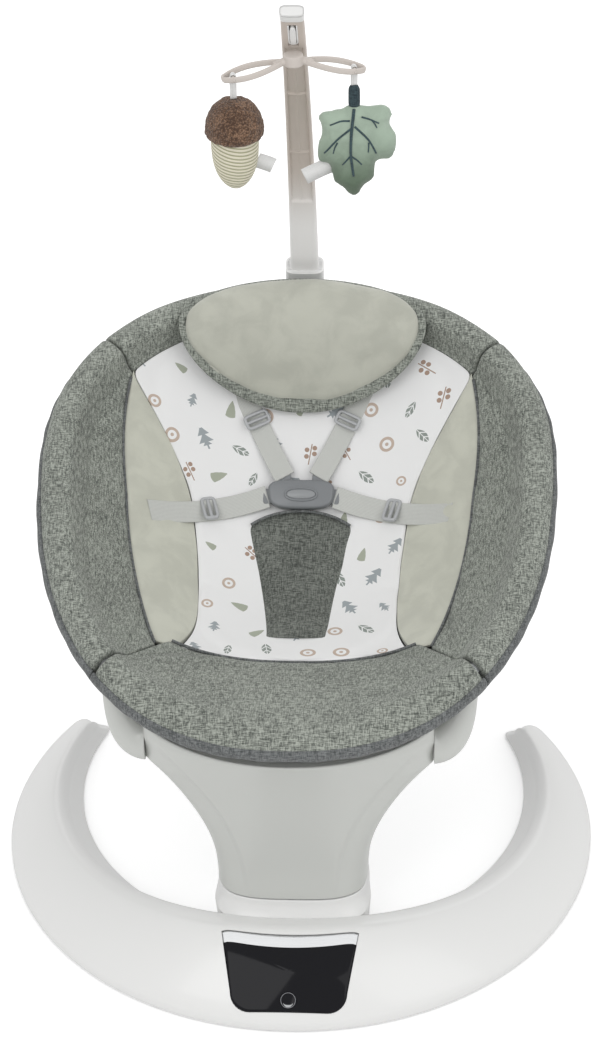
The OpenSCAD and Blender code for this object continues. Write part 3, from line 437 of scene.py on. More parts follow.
def puff(
    obj: bpy.types.Object, stuffing: Stuffing, held: Optional[Array] = None, along: Optional[Array] = None
) -> bpy.types.Object:
    """Turn a closed shape into a filled fabric pad.

    The mesh is blown up by the Cloth modifier's pressure with gravity off, kept within a
    set distance of where it started, and smoothed once.

    Args:
        obj: Closed piece.
        stuffing: Its filling; a voxel size of 0 keeps the piece's own grid.
        held: Hold of each point from 0 to 1.
        along: Direction of the only movement that is kept, for a flat toy.

    Returns:
        The same object.
    """
    if stuffing.voxel:
        remesh(obj, stuffing.voxel)
    rest = coords(obj)
    mod = obj.modifiers.new("cloth", "CLOTH")
    for key, value in CLOTH.items():
        setattr(mod.settings, key, value)
    mod.settings.uniform_pressure_force = stuffing.pressure
    mod.settings.effector_weights.gravity = 0
    mod.collision_settings.use_collision = False
    mod.collision_settings.use_self_collision = False
    mod.point_cache.frame_start, mod.point_cache.frame_end = 1, CLOTH_FRAMES
    if held is not None:
        group = obj.vertex_groups.new(name="held")
        hold = np.clip(held, 0, 1)
        for level in np.unique(np.round(hold, 1)):
            group.add(np.nonzero(np.round(hold, 1) == level)[0].tolist(), float(level), "REPLACE")
        mod.settings.vertex_group_mass = "held"
    scene = bpy.context.scene
    for frame in range(1, CLOTH_FRAMES + 1):
        scene.frame_set(frame)
    graph = bpy.context.evaluated_depsgraph_get()
    done = obj.evaluated_get(graph)
    after = np.zeros(len(rest) * 3, np.float32)
    done.data.vertices.foreach_get("co", after)
    move = after.reshape(-1, 3).astype(float) - rest
    move = np.nan_to_num(move) * stuffing.hold
    if along is not None:
        move = (move @ along)[:, None] * along
    far = np.linalg.norm(move, axis=1, keepdims=True)
    move *= np.minimum(1, stuffing.reach / np.maximum(far, 1e-9))
    obj.modifiers.clear()
    scene.frame_set(1)
    set_coords(obj, rest + move)
    obj.vertex_groups.clear()
    subdivide(obj, 1)
    return obj


def subdivide(obj: bpy.types.Object, levels: int) -> None:
    """Add a subdivision surface of the same level in view and render."""
    mod = obj.modifiers.new("smooth", "SUBSURF")
    mod.levels = mod.render_levels = levels


# ---------------------------------------------------------------- shader maths

Value = Union["Sock", float, int]


def joined(op: str, swap: bool = False) -> Callable[["Sock", Value], "Sock"]:
    """Method of a Sock that joins it with another value.

    Args:
        op: Operation of the maths node; a comparison gives 1 where it holds.
        swap: Whether the other value comes first.

    Returns:
        The method.
    """

    def method(self: "Sock", other: Value) -> "Sock":
        """Return both values, joined by the maths node."""
        return self.graph.math(op, *((other, self) if swap else (self, other)))

    return method


class Sock:
    """A socket of a node tree that takes part in sums, so that patterns read as formulas."""

    def __init__(self, graph: "Graph", socket: bpy.types.NodeSocket) -> None:
        """Keep the socket and the graph that it belongs to."""
        self.graph, self.socket = graph, socket

    __add__ = joined("ADD")
    __radd__ = joined("ADD", swap=True)
    __sub__ = joined("SUBTRACT")
    __rsub__ = joined("SUBTRACT", swap=True)
    __mul__ = joined("MULTIPLY")
    __rmul__ = joined("MULTIPLY", swap=True)
    __truediv__ = joined("DIVIDE")
    __lt__ = joined("LESS_THAN")
    __gt__ = joined("GREATER_THAN")
    high = joined("MAXIMUM")

    def one(self, op: str) -> "Sock":
        """Apply a maths node of one input, such as SINE or ABSOLUTE."""
        return self.graph.math(op, self)


class Graph:
    """Builds one node tree: a material's or a shared group's."""

    def __init__(self, tree: bpy.types.NodeTree) -> None:
        """Keep the tree."""
        self.tree = tree

    def node(self, kind: str, **settings: object) -> bpy.types.Node:
        """Add a node and set its properties and, by socket name, its inputs."""
        made = self.tree.nodes.new("ShaderNode" + kind)
        for key, value in settings.items():
            if hasattr(made, key):
                setattr(made, key, value)
            else:
                self.feed(made.inputs[key.replace("_", " ")], value)
        return made

    def feed(self, socket: bpy.types.NodeSocket, value: object) -> None:
        """Link a socket to an input, or set the input's own value."""
        if isinstance(value, Sock):
            value = value.socket
        if isinstance(value, bpy.types.NodeSocket):
            self.tree.links.new(value, socket)
        else:
            socket.default_value = value

    def math(self, op: str, *values: Value) -> Sock:
        """Add a maths node."""
        made = self.node("Math", operation=op)
        for socket, value in zip(made.inputs, values):
            self.feed(socket, value)
        return Sock(self, made.outputs[0])

    def sock(self, node: bpy.types.Node, name: Union[str, int] = 0) -> Sock:
        """Wrap an output of a node."""
        return Sock(self, node.outputs[name])

    def place(
        self, scale: Sequence[float] = (1, 1, 1), source: str = "Object", turn: Sequence[float] = (0, 0, 0)
    ) -> Sock:
        """Object or UV coordinates through a Mapping node."""
        at = self.node("TexCoord")
        return self.sock(
            self.node("Mapping", Vector=at.outputs[source], Scale=tuple(scale), Rotation=tuple(turn))
        )

    def noise(self, vector: Sock, scale: Value, detail: float = 2.0, rough: float = 0.5) -> Sock:
        """Noise value from 0 to 1."""
        return self.sock(self.node("TexNoise", Vector=vector, Scale=scale, Detail=detail, Roughness=rough), 0)

    def split(self, vector: Sock) -> tuple[Sock, Sock, Sock]:
        """The three parts of a vector."""
        made = self.node("SeparateXYZ", Vector=vector)
        return self.sock(made, 0), self.sock(made, 1), self.sock(made, 2)

    def join(self, x: Value, y: Value, z: Value = 0.0) -> Sock:
        """A vector from three values."""
        made = self.node("CombineXYZ")
        for socket, value in zip(made.inputs, (x, y, z)):
            self.feed(socket, value)
        return self.sock(made)

    def ramp(self, value: Sock, low: float, high: float, to_low: float = 0.0, to_high: float = 1.0) -> Sock:
        """Value mapped smoothly from one range to another, and held at its ends."""
        made = self.node("MapRange", interpolation_type="SMOOTHSTEP")
        feeds = {"Value": value, "From Min": low, "From Max": high, "To Min": to_low, "To Max": to_high}
        for key, number in feeds.items():
            self.feed(made.inputs[key], number)
        return self.sock(made)

    def mix(self, share: Value, a: object, b: object, mode: str = "MIX") -> Sock:
        """Colour mixed from a to b by a share."""
        made = self.node("Mix", data_type="RGBA", blend_type=mode)
        self.feed(made.inputs["Factor"], share)
        self.feed(made.inputs[6], a)
        self.feed(made.inputs[7], b)
        return Sock(self, made.outputs[2])


def paint(rgb: Sequence[float]) -> tuple[float, float, float, float]:
    """Colour with full alpha from three linear values."""
    return (float(rgb[0]), float(rgb[1]), float(rgb[2]), 1.0)


GroupBuild = Callable[[Graph, Sock, Sock, bpy.types.Node], None]


def shared_group(name: str, rate: str, outputs: Sequence[str], build: GroupBuild) -> bpy.types.NodeTree:
    """Return a shader node group, built the first time that it is asked for.

    Args:
        name: Name of the group.
        rate: Name of its number input, beside its Vector input.
        outputs: Names of its number outputs.
        build: Function that fills the group from its two inputs and its output node.

    Returns:
        The group's node tree.
    """
    if name in bpy.data.node_groups:
        return bpy.data.node_groups[name]
    tree = bpy.data.node_groups.new(name, "ShaderNodeTree")
    tree.interface.new_socket("Vector", in_out="INPUT", socket_type="NodeSocketVector")
    tree.interface.new_socket(rate, in_out="INPUT", socket_type="NodeSocketFloat")
    for key in outputs:
        tree.interface.new_socket(key, in_out="OUTPUT", socket_type="NodeSocketFloat")
    graph = Graph(tree)
    entry, way_out = tree.nodes.new("NodeGroupInput"), tree.nodes.new("NodeGroupOutput")
    build(graph, graph.sock(entry, "Vector"), graph.sock(entry, rate), way_out)
    return tree


def place_group(
    graph: Graph, vector: Sock, value: float, name: str, rate: str, outputs: Sequence[str], build: GroupBuild
) -> list[Sock]:
    """Place a shared group on a vector, with one number set, and return its outputs."""
    made = graph.node("Group", node_tree=shared_group(name, rate, outputs, build))
    graph.feed(made.inputs["Vector"], vector)
    made.inputs[rate].default_value = value
    return [graph.sock(made, key) for key in outputs]


def fine_grain(graph: Graph, vector: Sock, scale: float) -> Sock:
    """Place the shared group of fine moulded grain and return its height."""

    def build(g: Graph, at: Sock, rate: Sock, out: bpy.types.Node) -> None:
        """Height: two noises, one fine and one broad, added."""
        fine = g.noise(at, rate, 2.0)
        broad = g.noise(at, 14.0, 1.0)
        g.feed(out.inputs["Height"], fine * 0.4 + broad * 0.6)

    return place_group(graph, vector, scale, "Moulded grain", "Scale", ("Height",), build)[0]


def threads(graph: Graph, vector: Sock, pitch: float) -> list[Sock]:
    """Place the shared group of woven threads and return its height and its thread value.

    Formula: the weave is sin x sin y + sin y sin z + sin z sin x, half a wave to a pitch,
    broken up by fine noise.
    """

    def build(g: Graph, vector_in: Sock, rate: Sock, out: bpy.types.Node) -> None:
        """Weave height and a value that differs from thread to thread."""
        at = g.sock(g.node("VectorMath", operation="SCALE", Vector=vector_in, Scale=rate))
        x, y, z = (part.one("SINE") for part in g.split(at))
        over = x * y + y * z + z * x
        fuzz = g.noise(at, 0.9, 2.0)
        g.feed(out.inputs["Height"], over * 0.3 + fuzz * 0.7)
        g.feed(out.inputs["Thread"], g.noise(at, 0.35, 3.0, 0.7))

    return place_group(
        graph, vector, math.pi / (pitch * MM), "Woven threads", "Rate", ("Height", "Thread"), build
    )


def nap(graph: Graph, vector: Sock, size: float) -> list[Sock]:
    """Place the shared group of brushed pile and return its shade and its height."""

    def build(g: Graph, vector_in: Sock, rate: Sock, out: bpy.types.Node) -> None:
        """Broad warped clouds where the pile leans, and a fine fuzz."""
        at = g.sock(g.node("VectorMath", operation="SCALE", Vector=vector_in, Scale=rate))
        lean = g.sock(g.node("TexNoise", Vector=at, Scale=1.0, Detail=3.0, Roughness=0.55, Distortion=0.5))
        fuzz = g.noise(at, 55.0, 2.0, 0.7)
        g.feed(out.inputs["Shade"], lean * 0.75 + fuzz * 0.25)
        g.feed(out.inputs["Height"], lean * 0.3 + fuzz * 0.7)

    return place_group(graph, vector, 1 / (size * MM), "Brushed pile", "Rate", ("Shade", "Height"), build)


@dataclass(frozen=True)
class Finish:
    """A plain surface: the settings that its shader keeps the same all over.

    Attributes:
        name: Name of the material.
        color: Linear base colour.
        roughness: Roughness, which the pattern may vary a little.
        metallic: 1 for bare metal.
        coat: Weight of a clear gloss coat.
        sheen: Weight of the soft edge glow of fibres.
        specular: Level of the plain reflection.
    """

    name: str
    color: tuple[float, float, float]
    roughness: float = 0.5
    metallic: float = 0.0
    coat: float = 0.0
    sheen: float = 0.0
    specular: float = 0.5

    def material(self) -> bpy.types.Material:
        """Return the material, built the first time that it is asked for."""
        name = f"finish_{self.name}"
        if name in bpy.data.materials:
            return bpy.data.materials[name]
        made = bpy.data.materials.new(name)
        made.use_nodes = True
        graph = Graph(made.node_tree)
        shader = made.node_tree.nodes["Principled BSDF"]
        for key, value in {
            "Base Color": paint(self.color),
            "Roughness": self.roughness,
            "Metallic": self.metallic,
            "Coat Weight": self.coat,
            "Coat Roughness": 0.08,
            "Sheen Weight": self.sheen,
            "Sheen Roughness": 0.5,
            "Specular IOR Level": self.specular,
        }.items():
            shader.inputs[key].default_value = value
        self.pattern(graph, shader)
        return made

    def pattern(self, graph: Graph, shader: bpy.types.Node) -> None:
        """Add the pattern of this finish to its shader."""
        raise NotImplementedError

    def tint(self, graph: Graph, shader: bpy.types.Node, share: Value, low: object, high: object) -> None:
        """Mix the base colour from low to high; a number stands for that share of the colour."""
        ends = [tuple(c * e for c in self.color) if isinstance(e, float) else e for e in (low, high)]
        graph.feed(shader.inputs["Base Color"], graph.mix(share, *map(paint, ends)))

    def gloss(
        self,
        graph: Graph,
        shader: bpy.types.Node,
        value: Sock,
        span: tuple[float, float],
        shares: tuple[float, float],
    ) -> None:
        """Vary the roughness between two shares of it while a value crosses a span."""
        rough = graph.ramp(value, *span, *(self.roughness * k for k in shares))
        graph.feed(shader.inputs["Roughness"], rough)

    def relief(
        self, graph: Graph, shader: bpy.types.Node, height: Sock, depth: float, strength: float = 1.0
    ) -> None:
        """Feed a height through a Bump node of some depth in millimetres."""
        bump = graph.node("Bump", Height=height, Distance=depth * MM, Strength=strength)
        graph.feed(shader.inputs["Normal"], bump.outputs[0])


@dataclass(frozen=True)
class Moulded(Finish):
    """Moulded plastic, rubber or board: faint grain, and gloss that varies a little.

    Attributes:
        grain: Depth of the grain in millimetres.
        blush: How far the colour varies.
    """

    grain: float = 0.01
    blush: float = 0.03

    def pattern(self, graph: Graph, shader: bpy.types.Node) -> None:
        """Fine grain in the height, broad clouds in roughness and colour."""
        at = graph.place()
        cloud = graph.noise(at, 5.0, 1.0)
        grain = fine_grain(graph, at, 1100.0)
        self.tint(graph, shader, cloud, 1 - self.blush, 1 + self.blush)
        self.gloss(graph, shader, cloud, (0.3, 0.7), (0.96, 1.04))
        self.relief(graph, shader, grain, self.grain)


@dataclass(frozen=True)
class ShadedUpwards(Moulded):
    """Moulded plastic with painted shade: its colour darkens from its foot to its top.

    Attributes:
        foot: Colour at the foot, the plastic's own; the base colour is the painted shade at the top.
        low: Height where the change begins, in metres.
        high: Height where it ends, in metres.
    """

    foot: tuple[float, float, float] = (0.8, 0.8, 0.8)
    low: float = 0.0
    high: float = 1.0

    def pattern(self, graph: Graph, shader: bpy.types.Node) -> None:
        """Painted shade: the foot colour mixed along z into the darker top colour, with faint grain."""
        super().pattern(graph, shader)
        fall = graph.ramp(graph.split(graph.place())[2], self.low, self.high)
        self.tint(graph, shader, fall, self.foot, self.color)


@dataclass(frozen=True)
class Brushed(Finish):
    """Metal with fine lines along one axis."""

    def pattern(self, graph: Graph, shader: bpy.types.Node) -> None:
        """Stretched noise in roughness, colour and height."""
        lines = graph.noise(graph.place((30, 900, 900)), 1.0, 3.0)
        self.tint(graph, shader, lines, 0.92, 1.04)
        self.gloss(graph, shader, lines, (0.2, 0.8), (0.8, 1.25))
        self.relief(graph, shader, lines, 0.004)


@dataclass(frozen=True)
class Melange(Finish):
    """Woven cloth of mixed light and dark yarn, with slubs along both threads.

    Attributes:
        dark: Colour of the dark yarn.
        light: Colour of the light yarn.
        pitch: Distance between threads in millimetres.
    """

    dark: tuple[float, float, float] = (0.1, 0.1, 0.1)
    light: tuple[float, float, float] = (0.4, 0.4, 0.4)
    pitch: float = 0.55

    def pattern(self, graph: Graph, shader: bpy.types.Node) -> None:
        """Slubs: noise stretched along x and along y; weave: the shared thread group."""
        at = graph.place()
        height, thread = threads(graph, at, self.pitch)
        along = graph.noise(graph.place((150, 900, 900)), 1.0, 3.0, 0.65)
        across = graph.noise(graph.place((900, 150, 170)), 1.0, 3.0, 0.65)
        slub = along * 0.45 + across * 0.4 + thread * 0.15
        cloud = graph.noise(at, 16.0, 2.0)
        tone = graph.ramp(slub + (cloud - 0.5) * 0.06, 0.39, 0.62)
        self.tint(graph, shader, tone, self.dark, self.light)
        self.gloss(graph, shader, tone, (0.0, 1.0), (1.05, 0.9))
        self.relief(graph, shader, height + slub * 0.8, 0.22, 0.7)


@dataclass(frozen=True)
class Velvet(Finish):
    """Short brushed pile, lighter where it leans.

    Attributes:
        shade: Share of the colour in the darkest strokes.
        size: Size of the strokes in millimetres.
    """

    shade: float = 0.8
    size: float = 28.0

    def pattern(self, graph: Graph, shader: bpy.types.Node) -> None:
        """Strokes in the colour, fuzz in the height."""
        lean, fuzz = nap(graph, graph.place(), self.size)
        tone = graph.ramp(lean, 0.38, 0.62)
        self.tint(graph, shader, tone, self.shade, 1.0)
        self.gloss(graph, shader, lean, (0.3, 0.7), (1.0, 0.9))
        self.relief(graph, shader, fuzz, 0.35, 0.6)


@dataclass(frozen=True)
class Webbing(Finish):
    """Flat woven band whose ribs run along it, on the piece's own UV map.

    Attributes:
        ribs: Ribs for each metre across.
    """

    ribs: float = 700.0

    def pattern(self, graph: Graph, shader: bpy.types.Node) -> None:
        """Ribs: sine of the distance across; picks: sine of the distance along."""
        across, along, _ = graph.split(graph.place((1, 1, 1), "UV"))
        rib = (across * (2 * math.pi * self.ribs)).one("SINE")
        pick = (along * (2 * math.pi * 900.0)).one("SINE")
        fuzz = graph.noise(graph.place(), 420.0, 3.0)
        height = rib * 0.35 + pick * 0.2 + fuzz * 0.4
        tone = graph.ramp(height, -0.4, 0.8)
        self.tint(graph, shader, tone, 0.78, 1.0)
        self.gloss(graph, shader, fuzz, (0.3, 0.7), (1.0, 0.85))
        self.relief(graph, shader, height, 0.2, 0.6)


@dataclass(frozen=True)
class Boucle(Finish):
    """Curly looped yarn: round tufts with dark gaps.

    Attributes:
        light: Colour of the tufts that catch the light.
        tuft: Tufts for each metre.
    """

    light: tuple[float, float, float] = (0.3, 0.18, 0.1)
    tuft: float = 330.0

    def pattern(self, graph: Graph, shader: bpy.types.Node) -> None:
        """Tufts: the distance of a Voronoi pattern whose place is warped by noise."""
        at = graph.place()
        curl = graph.node("TexNoise", Vector=at, Scale=self.tuft, Detail=3.0)
        bent = graph.sock(graph.node("VectorMath", operation="MULTIPLY_ADD"))
        for socket, value in zip(bent.socket.node.inputs, (curl.outputs["Color"], (0.0035,) * 3, at)):
            graph.feed(socket, value)
        cell = graph.node("TexVoronoi", Vector=bent, Scale=self.tuft)
        tuft = 1.0 - graph.sock(cell, "Distance")
        patch = graph.noise(at, 60.0, 3.0)
        tone = graph.ramp(tuft * 0.6 + patch * 0.5, 0.4, 0.86)
        self.tint(graph, shader, tone, self.color, self.light)
        self.relief(graph, shader, tuft + graph.noise(at, 900.0, 2.0) * 0.4, 1.6, 0.9)


@dataclass(frozen=True)
class StripedJersey(Finish):
    """Ribbed jersey with curved stripes that run round a small stuffed body.

    Attributes:
        stripe: Colour of the stripes.
        pitch: Distance between stripes in millimetres.
        centre: Point, in metres, that the stripes curve round.
    """

    stripe: tuple[float, float, float] = (0.3, 0.3, 0.2)
    pitch: float = 3.6
    centre: tuple[float, float, float] = (0.0, 0.0, 0.0)

    def pattern(self, graph: Graph, shader: bpy.types.Node) -> None:
        """Stripes: sine of the distance from the centre, in the piece's own coordinates."""
        at = graph.place()
        away = graph.node("VectorMath", operation="DISTANCE")
        graph.feed(away.inputs[0], at)
        away.inputs[1].default_value = self.centre
        wobble = graph.noise(at, 90.0, 2.0)
        wave = (graph.sock(away, "Value") * (2 * math.pi / (self.pitch * MM)) + wobble * 1.2).one("SINE")
        knit, _ = threads(graph, at, 0.7)
        tone = graph.ramp(wave, -0.1, 0.75)
        self.tint(graph, shader, tone, self.color, self.stripe)
        self.relief(graph, shader, knit * 0.5 - wave * 0.9, 0.5, 0.8)


@dataclass(frozen=True)
class DippedVelvet(Velvet):
    """Velvet that darkens from the top of a piece to its foot.

    Attributes:
        foot: Colour at the foot.
        low: Height of the foot in metres.
        high: Height of the top in metres.
    """

    foot: tuple[float, float, float] = (0.1, 0.2, 0.15)
    low: float = 0.7
    high: float = 0.8

    def pattern(self, graph: Graph, shader: bpy.types.Node) -> None:
        """Velvet strokes over a ramp along z."""
        at = graph.place()
        lean, fuzz = nap(graph, at, self.size)
        z = graph.split(at)[2]
        fall = graph.ramp(z + (lean - 0.5) * 0.02, self.low, self.high)
        body = graph.mix(fall, paint(self.foot), paint(self.color))
        tone = graph.ramp(lean, 0.35, 0.65, self.shade, 1.0)
        grey = graph.join(tone, tone, tone)
        graph.feed(shader.inputs["Base Color"], graph.mix(1.0, body, grey, "MULTIPLY"))
        self.relief(graph, shader, fuzz, 0.35, 0.6)


@dataclass(frozen=True)
class PrintedCotton(Finish):
    """Smooth cotton with a scattered print of small leaves, sprigs, firs, rings and drops.

    The print is laid out on the piece's UV map, in metres, in cells that each hold one
    motif with its own place, turn, size and colour.

    Attributes:
        inks: Colours of the five motifs.
        cell: Size of a cell in metres.
    """

    inks: tuple[tuple[float, float, float], ...] = (
        (0.16, 0.2, 0.17),
        (0.3, 0.17, 0.1),
        (0.24, 0.28, 0.3),
        (0.46, 0.34, 0.26),
        (0.3, 0.33, 0.24),
    )
    cell: float = 0.036

    def motifs(self, graph: Graph, x: Sock, y: Sock) -> list[Sock]:
        """Masks of the five motifs in a cell's own coordinates, from -1 to 1."""
        ax, ay = x.one("ABSOLUTE"), y.one("ABSOLUTE")
        r = (x * x + y * y).one("SQRT")
        blade = (0.42 * (1.0 - y * y) - ax).high(0.0) > 0.0
        rib = ((ax - 0.035) > 0.0) * (((ax * 1.2 + y) * 9.0).one("SINE") > -0.75)
        leaf = blade * rib * (ay < 1.0)
        stalk = (ax < 0.05) * (ay < 0.95)
        berry = [
            ((x - a) * (x - a) + (y - b) * (y - b)) < 0.045
            for a, b in ((0.36, 0.1), (-0.36, 0.35), (0.3, 0.62), (-0.3, -0.25))
        ]
        sprig = stalk.high(berry[0]).high(berry[1]).high(berry[2]).high(berry[3])
        tier = ((y + 1.0) * 1.5).one("FRACT")
        fir = (ax < (0.62 - y * 0.22) * (1.0 - tier * 0.75)) * (y > -0.6) * (y < 0.95)
        fir = fir.high((ax < 0.08) * (y < 0.0) * (y > -0.95))
        ring = ((r - 0.55).one("ABSOLUTE") < 0.13).high(r < 0.16)
        drop = ((ax * 1.7) + (r - 0.35).one("ABSOLUTE") * 0.4) < (0.55 - y * 0.5)
        drop = drop * (r < 0.72)
        return [leaf, sprig, fir, ring, drop]

    def pattern(self, graph: Graph, shader: bpy.types.Node) -> None:
        """Print over a fine plain weave."""
        u, v, _ = graph.split(graph.place((1 / self.cell,) * 3, "UV"))
        row = v.one("FLOOR")
        u = u + row * 0.43
        col = u.one("FLOOR")
        luck = graph.node("TexWhiteNoise", noise_dimensions="2D", Vector=graph.join(col, row))
        more = graph.node("TexWhiteNoise", noise_dimensions="2D", Vector=graph.join(col + 31.0, row + 17.0))
        a, b, c = graph.split(graph.sock(luck, "Color"))
        d, e, _ = graph.split(graph.sock(more, "Color"))
        size = 0.2 + d * 0.14
        x = (u - col - 0.5 - (a - 0.5) * 0.3) / size
        y = (v - row - 0.5 - (b - 0.5) * 0.3) / size
        turn = (c - 0.5) * 2.4
        si, co = turn.one("SINE"), turn.one("COSINE")
        masks = self.motifs(graph, x * co - y * si, x * si + y * co)
        weave, _ = threads(graph, graph.place(), 0.35)
        color: object = paint(self.color)
        for i, (mask, ink) in enumerate(zip(masks, self.inks)):
            mine = (e > i / 5) * (e < (i + 1) / 5 + 1e-6)
            color = graph.mix(mask * mine * 0.85, color, paint(ink))
        graph.feed(shader.inputs["Base Color"], color)
        self.relief(graph, shader, weave, 0.1, 0.5)


class Look(Enum):
    """Finishes of the swing, one for each kind of surface."""

    SHELL = Moulded("shell_white", (0.76, 0.76, 0.75), 0.3, coat=0.25, grain=0.006, blush=0.012)
    PEDESTAL = Moulded("pedestal_white", (0.53, 0.54, 0.515), 0.3, coat=0.2, grain=0.006, blush=0.012)
    # Toy bar: white plastic with painted shade, taupe higher up where its leaning front faces down.
    BAR = ShadedUpwards(
        "toy_bar_painted_shade", (0.53, 0.47, 0.42), 0.42, grain=0.008, foot=(0.8, 0.79, 0.78), low=0.56, high=0.66
    )
    # Hanger: the same white plastic, painted taupe as the shade on its front and under faces.
    LOOP_SHADED = Moulded("toy_loop_painted_shade", (0.56, 0.51, 0.47), 0.4, grain=0.008, blush=0.02)
    LENS = Moulded("black_lens", (0.006, 0.006, 0.008), 0.06, specular=0.14, grain=0.001, blush=0.1)
    MARK = Moulded("button_ring_grey", (0.25, 0.25, 0.27), 0.3, grain=0.004)
    CHROME = Brushed("bright_trim", (0.82, 0.83, 0.84), 0.14, metallic=1.0)
    STEEL = Brushed("brushed_steel", (0.55, 0.56, 0.58), 0.32, metallic=1.0)
    DARK = Moulded("dark_moulding", (0.03, 0.03, 0.032), 0.5, grain=0.02, blush=0.08)
    GEAR = Moulded("gear_moulding", (0.62, 0.6, 0.52), 0.45, grain=0.015)
    BOARD = Moulded("circuit_board", (0.02, 0.14, 0.06), 0.4, grain=0.01, blush=0.15)
    RUBBER = Moulded("foot_rubber", (0.22, 0.22, 0.22), 0.75, grain=0.04, blush=0.06)
    BUCKLE = Moulded("buckle_grey", (0.19, 0.2, 0.21), 0.36, coat=0.1, grain=0.012)
    BUTTON = Moulded("release_grey", (0.27, 0.28, 0.29), 0.34, coat=0.1, grain=0.012)
    SLIDER = Moulded("slider_grey", (0.42, 0.43, 0.44), 0.36, coat=0.1, grain=0.012)
    MELANGE = Melange(
        "melange_cloth",
        (0.17, 0.18, 0.18),
        0.85,
        sheen=0.12,
        dark=(0.07, 0.078, 0.068),
        light=(0.4, 0.425, 0.375)
    )
    # Crotch pad: melange darkened as painted shade, for the shadow it lies in.
    PAD_SHADED = Melange(
        "melange_pad_painted_shade",
        (0.12, 0.13, 0.12),
        0.85,
        sheen=0.1,
        dark=(0.045, 0.05, 0.044),
        light=(0.22, 0.235, 0.21)
    )
    PIPING = Melange(
        "melange_piping",
        (0.12, 0.125, 0.125),
        0.85,
        sheen=0.1,
        dark=(0.055, 0.06, 0.06),
        light=(0.2, 0.21, 0.21)
    )
    SLING = Melange(
        "sling_cloth", (0.1, 0.1, 0.1), 0.85, dark=(0.07, 0.072, 0.075), light=(0.14, 0.145, 0.15), pitch=0.8
    )
    VELVET = Velvet("grey_velvet", (0.565, 0.57, 0.49), 0.82, sheen=0.3, shade=0.88, size=30.0)
    PILLOW = Velvet("pillow_velvet", (0.48, 0.485, 0.42), 0.82, sheen=0.3, shade=0.88, size=30.0)
    PRINT = PrintedCotton("printed_cotton", (0.82, 0.82, 0.82), 0.8, sheen=0.08)
    WEBBING = Webbing("harness_webbing", (0.58, 0.59, 0.56), 0.6, sheen=0.15)
    RIBBON = Webbing("white_ribbon", (0.8, 0.8, 0.79), 0.65, sheen=0.15, ribs=900.0)
    BOUCLE = Boucle(
        "acorn_boucle", (0.075, 0.037, 0.02), 0.95, sheen=0.15, light=(0.34, 0.2, 0.12), tuft=560.0
    )
    JERSEY = StripedJersey(
        "acorn_jersey",
        (0.74, 0.7, 0.56),
        0.85,
        sheen=0.15,
        stripe=(0.36, 0.35, 0.22),
        centre=(-0.03, 0.22, 0.86)
    )
    LEAF = DippedVelvet(
        "leaf_velvet",
        (0.36, 0.45, 0.36),
        0.8,
        sheen=0.35,
        shade=0.85,
        size=18.0,
        foot=(0.085, 0.13, 0.08),
        low=0.675,
        high=0.745
    )
    STEM = Melange(
        "stem_cloth",
        (0.02, 0.04, 0.05),
        0.85,
        sheen=0.1,
        dark=(0.01, 0.022, 0.03),
        light=(0.035, 0.065, 0.075),
        pitch=0.5
    )
    THREAD = Melange(
        "embroidery_thread",
        (0.02, 0.05, 0.06),
        0.6,
        sheen=0.2,
        dark=(0.01, 0.03, 0.04),
        light=(0.03, 0.075, 0.085),
        pitch=0.3
    )

    def on(self, obj: bpy.types.Object) -> bpy.types.Object:
        """Give an object this finish in every slot and return it."""
        material = self.value.material()
        if not obj.data.materials:
            obj.data.materials.append(material)
        for i in range(len(obj.data.materials)):
            obj.data.materials[i] = material
        return obj


NODE_LOOKS: dict[str, Look] = {
    "shell_plastic": Look.SHELL,
    "bar_plastic": Look.BAR,
    "lens_gloss": Look.LENS,
    "bright_trim": Look.CHROME,
    "melange_fabric": Look.MELANGE,
    "velvet": Look.VELVET,
    "printed_cotton": Look.PRINT,
    "sling_cloth": Look.SLING,
    "webbing": Look.WEBBING,
    "buckle_plastic": Look.BUCKLE,
    "slider_plastic": Look.SLIDER,
    "steel": Look.STEEL,
    "gear_plastic": Look.GEAR,
    "dark_plastic": Look.DARK,
    "board": Look.BOARD,
    "foot_rubber": Look.RUBBER,
    "ribbon_cloth": Look.RIBBON,
    "acorn_boucle": Look.BOUCLE,
    "acorn_cloth": Look.JERSEY,
    "leaf_velvet": Look.LEAF,
    "stem_cloth": Look.STEM,
}


@dataclass
class Assembly:
    """A group of pieces that ride on one body."""

    body: str

    def keep(self, obj: bpy.types.Object, look: Look, slot: str, *nodes: str) -> bpy.types.Object:
        """Dress a piece, let it ride on the body, and let it stand for CAD nodes.

        Args:
            obj: The piece.
            look: Its finish.
            slot: The record's material slot; not used.
            nodes: CAD nodes that it stands for.

        Returns:
            The same piece.
        """
        look.on(obj)
        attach(obj, self.body)
        if nodes:
            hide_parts(*nodes)
        log.info("piece %s on %s, %d vertices", obj.name, self.body, len(obj.data.vertices))
        return obj


# ---------------------------------------------------------------- base


@dataclass(frozen=True)
class Neck:
    """Superellipse section where the pedestal meets the hub of the base."""

    width: float = 146.0
    front: float = 58.0
    back: float = 50.0
    power: float = 3.4


